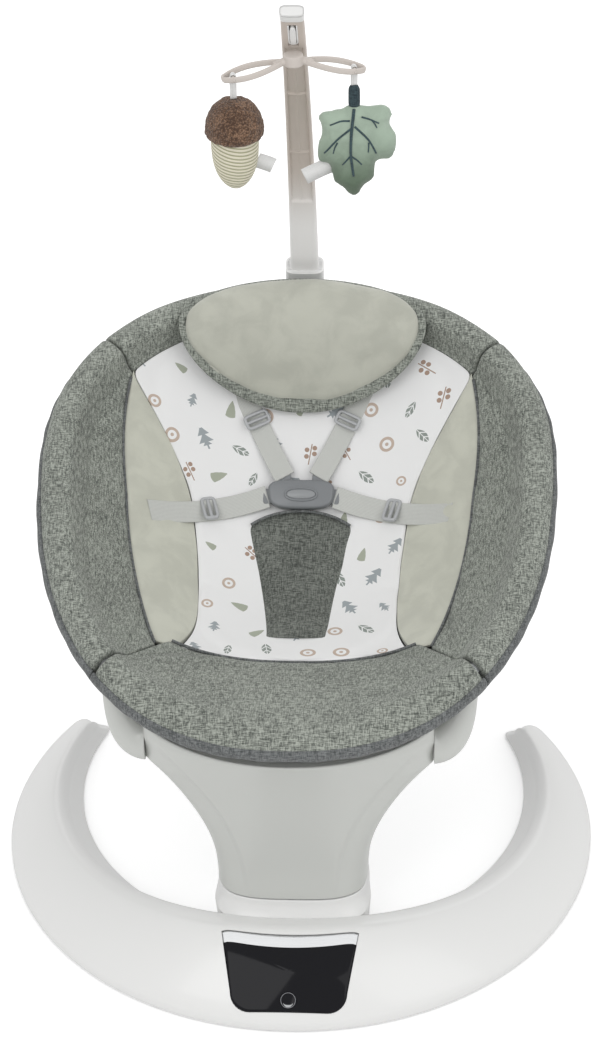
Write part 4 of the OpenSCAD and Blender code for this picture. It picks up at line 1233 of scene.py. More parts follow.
@dataclass
class Base(Assembly):
    """C-shaped base: its crest, the hub under the pedestal, and the control panel."""

    body: str = "base"
    outer_r: float = 300.0
    outer_back: float = 140.0
    inner_r: float = 233.0
    inner_back: float = 205.0
    crest_r: float = 255.0
    crest_back: float = 170.0
    crest_front: float = 68.0
    crest_side: float = 40.0
    crest_tip: float = 31.0
    tips: tuple[float, float, float] = (124.0, 115.0, 114.0)
    roll: tuple[tuple[float, float], ...] = (
        (0.02, 0.5), (0.08, 1.1), (0.16, 2.5), (0.24, 4.4), (0.32, 7.0), (0.39, 10.2), (0.45, 14.5),
    )
    slope_n: float = 1.25
    floor: float = 2.5
    tip_round: float = 7.0
    tip_run: float = 330.0
    neck: Neck = Neck()
    hub_top: float = 76.0
    panel_at: tuple[float, float] = (-151.0, 17.0)
    panel_to: tuple[float, float] = (-101.0, 52.0)
    panel_len: float = 81.0
    panel_w: float = 134.0
    panel_foot: float = 112.0
    panel_round: float = 19.0
    lens_len: float = 70.0
    lift: float = 4.0
    button_up: float = 11.0
    button_bore_r: float = 7.9
    inlet_at: tuple[float, float, float] = (30.0, 28.0, 22.0)
    inlet_r: float = 6.3

    def crest_height(self, angle: Array) -> Array:
        """Height of the crest: side + (front - side) cos^3(1.05 a) - (side - tip) (a / tip angle)^4."""
        f = np.abs(angle) / self.tips[1]
        c = np.maximum(0, np.cos(np.radians(1.05 * angle))) ** 3
        rise, fall = self.crest_front - self.crest_side, self.crest_side - self.crest_tip
        return self.crest_side + rise * c - fall * f**4

    @staticmethod
    def around(angle: Array, radius: Array, back: float) -> Array:
        """Plan point at an angle from the front of a circle set back: (r sin a, back - r cos a)."""
        a = np.radians(angle)
        return np.stack([radius * np.sin(a), back - radius * np.cos(a)], axis=-1)

    def shell_points(self) -> Array:
        """Grid of the base: closed sections that run from tip to tip, with rounded tips.

        Formula: each section joins an outer foot, a crest and an inner foot, which lie on
        three circles. The outer slope rises as (1 - (1 - u)^1.25)^(1 / 1.25), the top rolls
        over the crest, and the inner wall drops straight to the floor.
        """
        q = np.linspace(0, np.pi / 2, 7)
        run = np.linspace(-1, 1, 201)
        inset, along = (
            np.concatenate([end[::-1], np.zeros(len(run) - 2), end])
            for end in (self.tip_round * (1 - np.cos(q)), self.tip_round * (1 - np.sin(q)))
        )
        s = np.concatenate([-np.ones(7), run[1:-1] * (1 - self.tip_round / self.tip_run), np.ones(7)])
        s = s * np.where(along > 0, 1 - along / self.tip_run, 1)
        out = self.around(s * self.tips[0], self.outer_r - inset, self.outer_back)[:, None]
        top = self.around(s * self.tips[1], np.full_like(s, self.crest_r), self.crest_back)[:, None]
        inn = self.around(s * self.tips[2], self.inner_r + inset, self.inner_back)[:, None]
        h = (self.crest_height(s * self.tips[1]) - inset)[:, None]
        u = np.linspace(0, 1, 26)
        rise = (1 - (1 - u) ** self.slope_n) ** (1 / self.slope_n)
        lip = self.floor + 5
        slope = out + (top - out) * (0.94 * u)[None, :, None]
        slope_z = lip + (h - lip) * rise[None]
        shares, drops = np.array(self.roll).T
        g = np.concatenate([shares, [0.5, 0.6, 0.7, 0.8, 0.9, 0.97, 1.0]])
        wall = (g > shares[-1])[None]
        t = (g[None] - shares[-1]) / (1 - shares[-1])
        roll_z = h - np.interp(g, shares, drops)[None]
        roll_z = np.where(wall, (h - drops[-1]) * (1 - t) + self.floor * t, roll_z)
        roll = top + (inn - top) * g[None, :, None]
        foot = np.concatenate([out, out], axis=1)
        foot_z = np.broadcast_to(np.array([[self.floor, self.floor + 1.5]]), (len(s), 2))
        plan = np.concatenate([foot, slope, roll], axis=1)
        z = np.concatenate([foot_z, slope_z, roll_z], axis=1)
        return np.concatenate([plan, z[..., None]], axis=-1)

    def neck_outline(self, inset: float) -> Array:
        """Section of the neck, set in by a distance."""
        half = (self.neck.front + self.neck.back) / 2
        ring = oval_ring(96, self.neck.width / 2 - inset, half - inset, self.neck.power)
        return ring + (0, (self.neck.back - self.neck.front) / 2)

    def collar_rings(self) -> Array:
        """Grid of the hub: a rim with a round edge over a foot that flares into the base.

        Formula: below the rim the outline grows outwards by 11 u^2, where u runs from 0
        under the rim to 1 at the foot of the flare.
        """
        top = self.hub_top
        u = np.linspace(0, 1, 12)
        rows = [(0.4, self.floor)] + [(11 * v * v, top - 3 - 17 * v) for v in u[::-1]]
        rows += [
            (-1.4 * (1 - math.cos(a)), top - 1.4 * (1 - math.sin(a)))
            for a in np.linspace(0, np.pi / 2, 5)
        ]
        flat = self.neck_outline(0)
        ahead = np.clip(-flat[:, 1:] / self.neck.front, 0, 1) ** 1.5
        rings = [
            (flat + (self.neck_outline(-grow) - flat) * (0.12 + 0.88 * ahead if grow > 0.5 else 1), z)
            for grow, z in rows
        ]
        rings += [(self.neck_outline(1.4) * k, top) for k in (0.9, 0.7, 0.4, 0.1)]
        rings.insert(0, (self.neck_outline(0) * 0.1, self.floor))
        return np.array([level(ring, z) for ring, z in rings])

    @staticmethod
    def cut(obj: bpy.types.Object, cutter: bpy.types.Object) -> None:
        """Cut the shape of another object out of one, and remove the cutter."""
        step = obj.modifiers.new("cut", "BOOLEAN")
        step.object, step.operation, step.solver = cutter, "DIFFERENCE", "EXACT"
        bake_modifiers(obj)
        bpy.data.objects.remove(cutter)
        obj.data.polygons.foreach_set("use_smooth", [True] * len(obj.data.polygons))

    def panel_outline(self, inset: float, top: float, dip: float) -> Array:
        """Plan of the control panel: round lower corners, slanted sides and a bowed top."""
        r, foot = self.panel_round, self.panel_foot / 2
        half = (self.panel_foot + (self.panel_w - self.panel_foot) * (top - r) / (self.panel_len - r)) / 2
        a = np.radians(np.linspace(0, 90, 9))
        right = np.column_stack([foot - r + (r - inset) * np.sin(a), r - (r - inset) * np.cos(a)])
        f = np.linspace(1, -1, 33)
        soft = 1 - 0.012 * np.abs(f) ** 12
        crown = np.column_stack(
            [f * (half - inset) * soft, top - inset - dip * (1 - f**2) - 3.0 * np.abs(f) ** 14]
        )
        left = right[::-1] * (-1, 1)
        ring = np.vstack([right, crown, left, right[:1]])
        run = np.concatenate([[0], np.cumsum(np.linalg.norm(np.diff(ring, axis=0), axis=1))])
        even = np.union1d(run, np.linspace(0, run[-1], 160))[:-1]
        return np.column_stack([np.interp(even, run, ring[:, k]) for k in range(2)])

    def swell(self, points: Array) -> Array:
        """Height of the base's skin over the flat panel, at points of the panel's frame.

        Formula: 3.25 - 0.0025 (up - 44)^2 up the slope, less 6.2 (x / 66)^2 for the round
        plan of the base.
        """
        return 3.25 - 0.0025 * (points[..., 1] - 44) ** 2 - 6.2 * (points[..., 0] / 66) ** 2

    def on_panel(self, points: Array) -> Array:
        """Points of the panel's own frame, placed on the slope of the base and bent to it."""
        points = np.concatenate([points[..., :2], points[..., 2:] + self.swell(points)[..., None]], axis=-1)
        rise, run = self.panel_to[1] - self.panel_at[1], self.panel_to[0] - self.panel_at[0]
        turn = Matrix.Rotation(math.atan2(rise, run), 4, "X")
        return place(points, (0, *self.panel_at), turn)

    def button_bore(self) -> bpy.types.Object:
        """Cutter of the hole that the power button moves in."""
        t = circle(64)
        disc = self.button_bore_r * np.column_stack([np.sin(t), -np.cos(t)]) + (0, self.button_up)
        return solid("button_cutter", self.on_panel(plate_rings(disc, -9, 14, 0.1)))

    def build(self) -> None:
        """Make the shell with its window, the hub, and the lens and its trim with the button's hole."""
        shell = solid("base_shell_skin", self.shell_points())
        rings = plate_rings(self.panel_outline(0, self.panel_len, 7), -7, 40, 0.2)
        cutter = solid("window_cutter", self.on_panel(rings))
        self.cut(shell, cutter)
        sharp(shell, 40)
        self.keep(shell, Look.SHELL, "shell_plastic", "base_shell")
        hub = solid("hub_collar", self.collar_rings())
        t = circle(48)
        bore = plate_rings(self.inlet_r * np.column_stack([np.cos(t), np.sin(t)]), 0, 40, 0.1)
        bore = place(bore, self.inlet_at, spin(-90, "X"))
        self.cut(hub, solid("inlet_cutter", bore))
        sharp(hub, 50)
        self.keep(hub, Look.SHELL, "shell_plastic")
        slot = solid(
            "hub_shadow_slot", plate_rings(self.neck_outline(2.2), self.hub_top - 2, self.hub_top + 1.6, 0.3)
        )
        self.keep(slot, Look.DARK, "dark_plastic")
        lens_rings = plate_rings(
            self.panel_outline(0.4, self.lens_len, 8), self.lift - 4, self.lift + 2, 1.4, 0.8
        )
        lens = solid("control_panel_lens", self.on_panel(lens_rings))
        self.cut(lens, self.button_bore())
        sharp(lens, 40)
        self.keep(lens, Look.LENS, "lens_gloss", "control_lens")
        trim_rings = plate_rings(
            self.panel_outline(0.3, self.panel_len - 0.3, 7), self.lift - 6, self.lift + 0.6, 1.0
        )
        trim = solid("control_panel_trim", self.on_panel(trim_rings))
        self.cut(trim, self.button_bore())
        sharp(trim, 40)
        self.keep(trim, Look.CHROME, "bright_trim", "panel_trim")


@dataclass
class PowerButton(Assembly):
    """Round touch button of the control panel, with a pale crescent at its foot."""

    body: str = "power_button"
    radius: float = 7.5
    up: float = 11.0

    def build(self, base: Base) -> None:
        """Make the button's cap, its ring and its crescent on the panel of a base."""
        t = circle(64)
        disc = np.column_stack([self.radius * np.sin(t), self.up - self.radius * np.cos(t)])
        top = base.lift + 2.4
        cap = solid("power_button_cap", base.on_panel(plate_rings(disc, base.lift - 2, top, 0.5, -0.3)))
        self.keep(cap, Look.LENS, "lens_gloss", "power_button")
        loop = np.column_stack([disc[:, 0] * 0.93, (disc[:, 1] - self.up) * 0.93 + self.up, np.full(64, top)])
        ring = solid("power_button_ring", base.on_panel(tube_rings(np.vstack([loop, loop[:1]]), 0.28, 8)))
        self.keep(ring, Look.MARK, "buckle_plastic")
        a = np.radians(np.linspace(-58, 58, 25))
        arc = np.column_stack(
            [self.radius * 0.72 * np.sin(a), self.up - self.radius * 0.72 * np.cos(a), np.full(25, top)]
        )
        moon = solid(
            "power_button_mark", base.on_panel(tube_rings(arc, 0.2 + 1.0 * np.cos(a * 1.45) ** 2, 8, 0.3))
        )
        self.keep(moon, Look.SLIDER, "slider_plastic")


def sharp(obj: bpy.types.Object, degrees: float) -> None:
    """Keep edges sharper than an angle crisp under smooth shading."""
    obj.data.set_sharp_from_angle(angle=math.radians(degrees))


# ---------------------------------------------------------------- pedestal


@dataclass
class Pedestal(Assembly):
    """Flared pedestal: a front and a rear shell that meet along a fine joint line."""

    body: str = "pedestal"
    foot_z: float = 78.0
    neck: Neck = Neck()
    head_w: float = 270.0
    head_front: float = 92.0
    head_back: float = 8.0
    head_z: float = 267.0
    saddle_r: float = 560.0
    split_y: float = -20.0
    wall: float = 3.0
    crease: float = 2.2

    def flare(self, z: Array) -> Array:
        """Share of the flare: 0.08 f + 0.92 f^2.7 with f from the neck to the joints."""
        f = np.clip((z - self.foot_z) / (234 - self.foot_z), 0, 1)
        return 0.08 * f + 0.92 * f**2.7

    def ring(self, t: Array, z: Array, inset: float) -> Array:
        """Superellipse section at height z, bowed back towards its ends.

        Formula: the half width grows with the flare; the front leans out as f^1.9 and the
        rear comes in as a half cosine; y gains 26 flare (x / a)^2, and x stops at the
        flat recline joints.
        """
        fl = self.flare(z)
        a = self.neck.width / 2 + (self.head_w / 2 + 4 - self.neck.width / 2) * fl - inset
        f = np.clip((z - self.foot_z) / (self.head_z - self.foot_z), 0, 1)
        front = -self.neck.front - (self.head_front - self.neck.front) * f**1.9
        g = np.clip((z - self.foot_z) / (200 - self.foot_z), 0, 1)
        back = self.neck.back - (self.neck.back + self.head_back) * (0.5 - 0.5 * np.cos(np.pi * g))
        x, y = oval(t, a, (back - front) / 2 - inset, self.neck.power)
        return stack(
            np.clip(x, -self.head_w / 2 + inset, self.head_w / 2 - inset),
            y + (front + back) / 2 + 26 * fl * (x / a) ** 2,
            z
        )

    def shell(self, side: float, inset: float, rows: int = 61, cols: int = 121) -> Array:
        """Grid of one half of the pedestal, from its foot to the saddle that its rim follows.

        The angle where the section crosses the joint line is found by halving, and the
        top of each column follows z = head + R - sqrt(R^2 - x^2).

        Args:
            side: -1 for the front half and 1 for the rear one.
            inset: Distance inside the outer skin.
            rows: Points from foot to rim.
            cols: Points across.

        Returns:
            Grid of points.
        """
        share = np.linspace(0, 1, rows)[:, None]
        lo, hi = np.full((rows, 1), 0.02), np.full((rows, 1), np.pi - 0.02)
        z = self.foot_z + (self.head_z + 20 - self.foot_z) * share
        for _ in range(30):
            mid = (lo + hi) / 2
            ahead = self.ring(mid, z, inset)[..., 1] < self.split_y + (0.3 if side > 0 else 0)
            lo, hi = np.where(ahead, mid, lo), np.where(ahead, hi, mid)
        sweep = np.linspace(-1, 1, cols)[None, :]
        t = sweep * lo if side < 0 else np.pi + sweep * (np.pi - lo)
        for _ in range(6):
            x = self.ring(t, z, inset)[..., 0]
            top = self.head_z + self.saddle_r - np.sqrt(self.saddle_r**2 - x**2)
            z = self.foot_z + (top - self.foot_z) * share
        pts = self.ring(t, z, inset)
        if side < 0:
            pts[..., 1] += self.shield(pts)
        return pts

    def shield(self, pts: Array) -> Array:
        """Push of the two creases that frame a shield on the front and meet near its foot.

        Formula: with h the height over the neck and w(h) = 40 + 78 h^2.2 the half width
        of the shield, the skin outside it falls back by crease times a smooth step.
        """
        h = np.clip((pts[..., 2] - self.foot_z) / (self.head_z - self.foot_z), 0, 1)
        w = 40 + 78 * h**2.2
        out = np.clip((np.abs(pts[..., 0]) - w) / 7, 0, 1)
        fade = np.clip(h * 6, 0, 1) * np.clip((1.02 - h) * 9, 0, 1)
        return self.crease * out**2 * (3 - 2 * out) * fade

    def build(self) -> None:
        """Make both shells with their walls, and the lip inside the front one's rim."""
        for name, side, node in (
            ("pedestal_front_skin", -1, "pedestal_front_shell"),
            ("pedestal_rear_skin", 1, "pedestal_rear_shell")
        ):
            outer, inner = self.shell(side, 0), self.shell(side, self.wall)
            rim = (outer[-1] + inner[-1]) / 2 + (0, 0, 1.1)
            grid = np.concatenate(
                [
                    outer[:-1],
                    outer[-1:] - (0, 0, 0.9),
                    rim[None],
                    inner[-1:] - (0, 0, 0.9),
                    inner[-2:20:-1],
                    inner[20:21]
                ]
            )
            skin = surface(name, grid, closed=False)
            orient(skin, np.array([0, self.split_y, 180]), outer.shape[0] * outer.shape[1] // 2)
            self.keep(skin, Look.PEDESTAL, "shell_plastic", node)
        rim = self.shell(-1, 0.6)[-1] - (0, 0, 1.0)
        axis = np.array([0, self.split_y, 0]) + rim * (0, 0, 1)
        reach = np.minimum(0.9, 30 / np.linalg.norm(axis - rim, axis=1, keepdims=True))
        inner = rim + (axis - rim) * reach - (0, 0, 3)
        lip = np.stack([rim, inner, inner - (0, 0, 1.2), rim - (0, 0, 1.2)], axis=1)
        self.keep(solid("pedestal_rim_lip", lip), Look.PEDESTAL, "shell_plastic")


def orient(obj: bpy.types.Object, inside: Array, probe: int) -> None:
    """Turn an open skin so that the face at a probe vertex points away from a point."""
    mesh = obj.data
    co, no = coords(obj), normals(obj)
    if np.dot(no[probe], co[probe] - np.asarray(inside) * MM) < 0:
        mesh.flip_normals()


# ---------------------------------------------------------------- seat form


@dataclass
class SeatForm:
    """Shape that every piece of the seat follows: a tilted ring and the hollow inside it.

    A point is given by x across, u up the seat and w out of the ring's plane.
    """

    width: float = 498.0
    front: float = 325.0
    rear: float = 221.0
    tilt: float = 22.0
    front_z: float = 290.0
    front_y: float = 103.0
    deep: float = 136.0
    deep_u: float = 265.0
    front_reach: float = 255.0
    rear_reach: float = 276.0
    rim_w: float = 7.0
    front_n: float = 2.32
    rear_n: float = 2.3
    inset: float = 17.0
    tube_r: float = 8.0
    crown: float = 7.0
    panel_t: float = 9.0
    hollow_inset: float = 10.0
    dish_n: float = 2.4

    def at(self, x: Array, u: Array, w: Array) -> Array:
        """Place of (x, u, w): u and w turned by the tilt about the front edge."""
        c, s = math.cos(math.radians(self.tilt)), math.sin(math.radians(self.tilt))
        return stack(x, -self.front_y + u * c - w * s, self.front_z + u * s + w * c)

    def end(self, ahead: Array) -> tuple[Array, Array]:
        """Length and exponent of the outline ahead of its widest line, or behind it."""
        return np.where(ahead, self.front, self.rear), np.where(ahead, self.front_n, self.rear_n)

    def tube_line(self, t: Array) -> tuple[Array, Array]:
        """Middle of the ring tube at angle t, and the direction out of the ring there."""
        rim, middle = self.rim(t, np.zeros_like(t)), self.rim(t, np.full_like(t, self.inset))
        return middle, (rim - middle) / np.linalg.norm(rim - middle, axis=-1, keepdims=True)

    def rim(self, t: Array, e: Array) -> Array:
        """Outline at angle t in degrees, set in by e: one superellipse on each side of the widest line."""
        s, c = np.sin(np.radians(t)), np.cos(np.radians(t))
        b, n = self.end(c > 0)
        b = b - e
        x = (self.width / 2 - e) * np.sign(s) * np.abs(s) ** (2 / n)
        return np.stack([x, self.front - b * np.sign(c) * np.abs(c) ** (2 / n)], axis=-1)

    def depth(self, u: Array) -> Array:
        """Depth of the hollow on the centre line: a raised cosine to a power, ahead and behind."""
        ahead = u < self.deep_u
        f = np.minimum(1, np.abs(u - self.deep_u) / np.where(ahead, self.front_reach, self.rear_reach))
        return self.deep * np.maximum(0.5 + 0.5 * np.cos(np.pi * f), 0) ** np.where(ahead, 0.8, 0.5)

    def half(self, u: Array) -> Array:
        """Half width of the hollow at u."""
        b, n = self.end(u < self.front)
        f = np.minimum(1, np.abs(u - self.front) / (b - self.hollow_inset))
        return (self.width / 2 - self.hollow_inset) * np.maximum(1e-4, 1 - f**n) ** (1 / n)

    def dish(self, x: Array, u: Array) -> Array:
        """Height of the seat's surface: rim - depth (1 - (|x| / half width)^2.4)."""
        return self.rim_w - self.depth(u) * (1 - np.minimum(1, np.abs(x) / self.half(u)) ** self.dish_n)

    def on_pad(self, t: Array, k: Array, lift: Array) -> Array:
        """Point of the seat's surface a share k of the way from the middle to the rim at angle t."""
        p = self.rim(t, np.zeros_like(t))
        x, u = k * p[..., 0], self.front + k * (p[..., 1] - self.front)
        return self.at(x, u, self.dish(x, u) + lift)

    def scaled_half(self, u: Array, f: float) -> Array:
        """Half width at u of the outline scaled by f about its widest line."""
        b, n = self.end(u < self.front)
        return f * self.width / 2 * (1 - np.minimum(0.999, np.abs(u - self.front) / b / f) ** n) ** (1 / n)

    def border(self, t: Array, k: Array, top_steps: int = 16) -> Array:
        """Grid of a padded border panel at angles t, as far in as shares k of the rim.

        Formula: an arc over the ring tube from its outside foot, then the seat's surface
        from share 0.86 to k, back along the same line a panel's thickness lower, and an
        arc round the tube back to the foot.
        """
        t = np.asarray(t, float)[:, None]
        c, d = self.tube_line(t)
        r = self.tube_r + 0.4
        a = np.radians(np.linspace(-60, 140, 17))[None]
        q = c + d * (self.inset * np.cos(a))[..., None]
        over = self.at(q[..., 0], q[..., 1], (r + self.crown) * np.sin(a))
        j = np.linspace(0, 1, top_steps + 1)[None, 1:]
        s = 0.86 + (np.asarray(k, float)[:, None] - 0.86) * j
        tt = np.broadcast_to(t, s.shape)
        top, foot = self.on_pad(tt, s, np.zeros_like(s)), self.on_pad(tt, s, np.full_like(s, -self.panel_t))
        b = np.radians(np.linspace(150, -60, 13))[None]
        q = c + d * (r * np.cos(b))[..., None]
        under = self.at(q[..., 0], q[..., 1], r * np.sin(b))
        return np.concatenate([over, top, foot[:, ::-1], under], axis=1)


# ---------------------------------------------------------------- seat cover


@dataclass
class SeatCover(Assembly):
    """Padded border panels, sling, insert and head pillow of the ring seat."""

    form: SeatForm = field(default_factory=SeatForm)
    body: str = "seat"
    front_seam: float = 44.0
    rear_seam: float = 129.0
    seam: float = 0.5
    top_edge: float = 0.85
    insert_t: float = 9.0
    pillow: tuple[float, float, float, float] = (124.0, 56.0, 486.0, 24.0)
    sling_share: float = 0.88

    def side_edge(self, t: Array) -> Array:
        """Inner edge of a side panel at angle t, as a share of the rim."""
        a = np.abs(t)
        return np.where(a > 70, 0.67 + 0.18 * ((a - 70) / 59) ** 2, 0.67 + 0.05 * ((70 - a) / 26) ** 2)

    def front_edge(self, t: Array) -> Array:
        """Inner edge of the front panel at angle t, as a share of the rim."""
        return 0.55 + 0.11 * (t / self.front_seam) ** 2

    def inner_edge(self, u: Array) -> Array:
        """Half width between the side panels' inner edges at u."""
        t = np.linspace(self.front_seam, self.rear_seam, 200)
        p = self.form.rim(t, np.zeros_like(t)) * self.side_edge(t)[:, None]
        line = self.form.front * (1 - self.side_edge(t)) + p[:, 1]
        half = np.interp(u, line, p[:, 0])
        above = self.form.scaled_half(np.maximum(u, self.form.front), self.top_edge)
        return np.where(u > line[-1], above, half)

    def front_line(self, x: Array) -> Array:
        """Place u of the front panel's inner edge at x."""
        t = np.linspace(0, self.front_seam, 60)
        p = self.form.rim(t, np.zeros_like(t)) * self.front_edge(t)[:, None]
        line = self.form.front * (1 - self.front_edge(t)) + p[:, 1]
        return np.interp(np.abs(x), p[:, 0], line)

    def print_half(self, u: Array) -> Array:
        """Half width of the printed centre at u, which widens to the corner between the seams."""
        f = self.form
        grow = 98 + 44 * np.maximum(0, (u - 215) / 250) ** 2 + 18 * np.maximum(0, (215 - u) / 60) ** 2
        grow = grow + 32 * np.maximum(0, (u - 345) / 100) ** 1.6
        return np.minimum(grow, self.inner_edge(u) - 0.6)

    def pad(
        self,
        u0: float,
        u1: float,
        lo: Callable[[Array], Array],
        hi: Callable[[Array], Array],
        top: Callable[[Array, Array, Array], Array],
        foot: float,
        bow: bool = False
    ) -> Array:
        """Grid of a pad on the seat's surface, row by row, as closed rings.

        Formula: row u runs from lo(u) to hi(u); its upper side is the surface plus
        top(x, u, s) with s from -1 to 1 across, and its underside the surface plus foot.
        With bow, the first rows bend to follow the front panel's inner edge.
        """
        f = self.form
        share = np.linspace(0, 1, 64)[:, None]
        u = lerp(u0, u1, share)
        s = np.sin(np.linspace(-1, 1, 41) * np.pi / 2)[None]
        x = lo(u) + (hi(u) - lo(u)) * (s + 1) / 2
        if bow:
            u = u + (self.front_line(x) - 4 - u0) * (1 - share) ** 6
        above = f.at(x, u, f.dish(x, u) + top(x, u, s) - 4 * (1 - share) ** 16)
        below = f.at(x, u, f.dish(x, u) + foot)
        return np.concatenate([above[:, ::-1], below], axis=1)

    def share_at(self, x: Array, u: Array) -> Array:
        """Share of the rear outline that a point lies on."""
        f = self.form
        across, along = np.abs(x) * 2 / f.width, np.maximum(0, u - f.front) / f.rear
        return (across**f.rear_n + along**f.rear_n) ** (1 / f.rear_n)

    def pillow_bed(self, x: Array, u: Array) -> Array:
        """Underside of the pillow: on the back of the seat, then up over the padded rim."""
        f = self.form
        reach = np.maximum(0, (1 - self.share_at(x, u)) * f.rear - 1.8 * f.inset)
        return np.maximum(f.dish(x, u) + 1, f.tube_r + f.crown + 0.9 - 0.87 * reach)

    def pillow_grid(self, shrink: float, base: float, height: float) -> Array:
        """Grid of a flat ellipse that lies on the pillow's bed.

        Formula: rows at u = middle - b cos v; across x = a sqrt(1 - k^2) sin j, and the
        top rises by height ((1 - k^2) cos^2 j)^0.42 over the bed.
        """
        a, b, mid, _ = self.pillow
        a, b = a - shrink, b - shrink
        v = np.radians(np.linspace(4, 176, 49))[:, None]
        u, k = mid - b * np.cos(v), -np.cos(v)
        j = np.radians(np.linspace(90, -90, 41))[None]
        x = a * np.sqrt(1 - k**2) * np.sin(j)
        bed = self.pillow_bed(x, u)
        full = np.clip((1 - k**2) * np.cos(j) ** 2, 0, 1) ** 0.42
        above = self.form.at(x, u, bed + base + 2 + height * full)
        below = self.form.at(x, u, bed + base)
        return np.concatenate([above, below[:, ::-1]], axis=1)

    def surface_uv(self, obj: bpy.types.Object) -> None:
        """Lay a UV map on a piece from its place on the seat: x, and the length along the hollow."""
        f = self.form
        co = coords(obj) / MM
        c, s = math.cos(math.radians(f.tilt)), math.sin(math.radians(f.tilt))
        u = (co[:, 1] + f.front_y) * c + (co[:, 2] - f.front_z) * s
        line = np.linspace(0, f.front + f.rear, 400)
        w = f.dish(np.zeros_like(line), line)
        length = np.concatenate([[0], np.cumsum(np.hypot(np.diff(line), np.diff(w)))])
        uv = np.column_stack([co[:, 0], np.interp(u, line, length)]) * MM
        write_uv(obj, uv)

    def crease(self, obj: bpy.types.Object, depth: float, size: float, seed: int) -> None:
        """Move a pad's skin in and out by a soft seeded ripple of some depth in millimetres."""
        co = coords(obj)
        ripple = bumps(co / MM, size, seed, 7)
        set_coords(obj, co + normals(obj) * (ripple * depth * MM)[:, None])

    def panels(self) -> None:
        """Make the four border panels, puffed between their seams, and their hems."""
        f = self.form
        f0, r0, g = self.front_seam, self.rear_seam, self.seam
        parts = {
            "side_panel_left": (np.linspace(-r0 + g, -f0 - g, 110), self.side_edge, 11),
            "side_panel_right": (np.linspace(f0 + g, r0 - g, 110), self.side_edge, 12),
            "front_panel": (np.linspace(-f0, f0, 90), self.front_edge, 13),
            "top_panel": (np.linspace(r0, 360 - r0, 110), lambda t: np.full_like(t, self.top_edge), 14),
        }
        for node, (t, edge, seed) in parts.items():
            grid = f.border(t, edge(t))
            piece = solid(node + "_cloth", grid)
            over, deep = 17, 16
            puff(
                piece,
                Stuffing(pressure=4.0, reach=0.0045, fill=0.45),
                sewn(len(t), grid.shape[1], 2.0, (*range(8), over + deep - 1, over + deep), over + deep + 1)
            )
            self.crease(piece, 0.6, 60, seed)
            self.keep(piece, Look.MELANGE, "melange_fabric", node)
            self.hem(node, t)

    def hem(self, node: str, t: Array) -> None:
        """Sewn band along the lower edge of a panel.

        Formula: a flat ring of points round the arc of the panel's outer section from
        -64 degrees to 26 degrees in front, falling to -10 degrees behind, 1.2 inside it
        and up to 3.1 outside it, with a ripple of 0.35.
        """
        f = self.form
        tt = t[:, None]
        c, d = f.tube_line(tt)
        upper = np.interp(np.abs(np.where(tt > 180, 360 - tt, tt)), [80, 125], [26, -10])
        a = np.radians(-64 + (upper + 64) * np.linspace(0, 1, 15)[None])
        bulge = 2.2 * (1 - np.linspace(-1, 1, 15) ** 6)[None]

        def arc(extra: Array) -> Array:
            """Points of the arc pushed out by an extra distance."""
            q = c + d * ((f.inset + extra) * np.cos(a))[..., None]
            return f.at(q[..., 0], q[..., 1], (f.tube_r + 0.4 + f.crown + extra) * np.sin(a))

        ripple = 0.35 * np.sin(np.radians(tt) * 47 + 5 * a) * (bulge > 1)
        grid = np.concatenate([arc(0.9 + bulge + ripple), arc(-1.2 + 0 * bulge)[:, ::-1]], axis=1)
        band = solid(node + "_hem", grid)
        self.keep(band, Look.PIPING, "melange_fabric")

    def piping(self, name: str, t: Array, k: Array, lift: float, radius: float) -> None:
        """Rolled cord sewn along the inner edge of a panel."""
        path = self.form.on_pad(t, k, np.full_like(t, lift))
        cordlet = solid(name, tube_rings(path, radius, 10))
        self.keep(cordlet, Look.PIPING, "melange_fabric")

    def insert(self) -> None:
        """Make the printed centre and the two velvet wings."""
        f = self.form

        def loft(x: Array, u: Array, s: Array) -> Array:
            """Crown of the centre pad, lower at its edges."""
            return 2.2 * (1 - np.abs(s) ** 6) - 0.6

        grid = self.pad(
            164, 499, lambda u: -self.print_half(u), self.print_half, loft, -self.insert_t + 0.6, bow=True
        )
        centre = solid("printed_insert", grid)
        puff(centre, Stuffing(pressure=3.0, reach=0.002, fill=0.4), pad_hold(grid, 1.5))
        self.crease(centre, 0.45, 48, 21)
        self.surface_uv(centre)
        self.keep(centre, Look.PRINT, "printed_cotton", "insert_centre")

        def wing_top(x: Array, u: Array, s: Array) -> Array:
            """Crown of a velvet wing."""
            return 2.6 * (1 - np.abs(s) ** 4) - 0.6

        def near(u: Array) -> Array:
            """Inner edge of a wing."""
            return np.minimum(self.print_half(u) + 0.5, self.inner_edge(u) - 1)

        def far(u: Array) -> Array:
            """Outer edge of a wing."""
            return self.inner_edge(u) - 0.2

        for side, name, seed in ((-1, "insert_wing_left", 22), (1, "insert_wing_right", 23)):
            lo, hi = (near, far) if side > 0 else (lambda u: -far(u), lambda u: -near(u))
            grid = self.pad(158, 450, lo, hi, wing_top, -self.insert_t + 0.6)
            wing = solid(name + "_velvet", grid)
            puff(wing, Stuffing(pressure=3.0, reach=0.0012, fill=0.5), pad_hold(grid, 1.5))
            self.crease(wing, 0.6, 40, seed)
            self.keep(wing, Look.VELVET, "velvet", name)

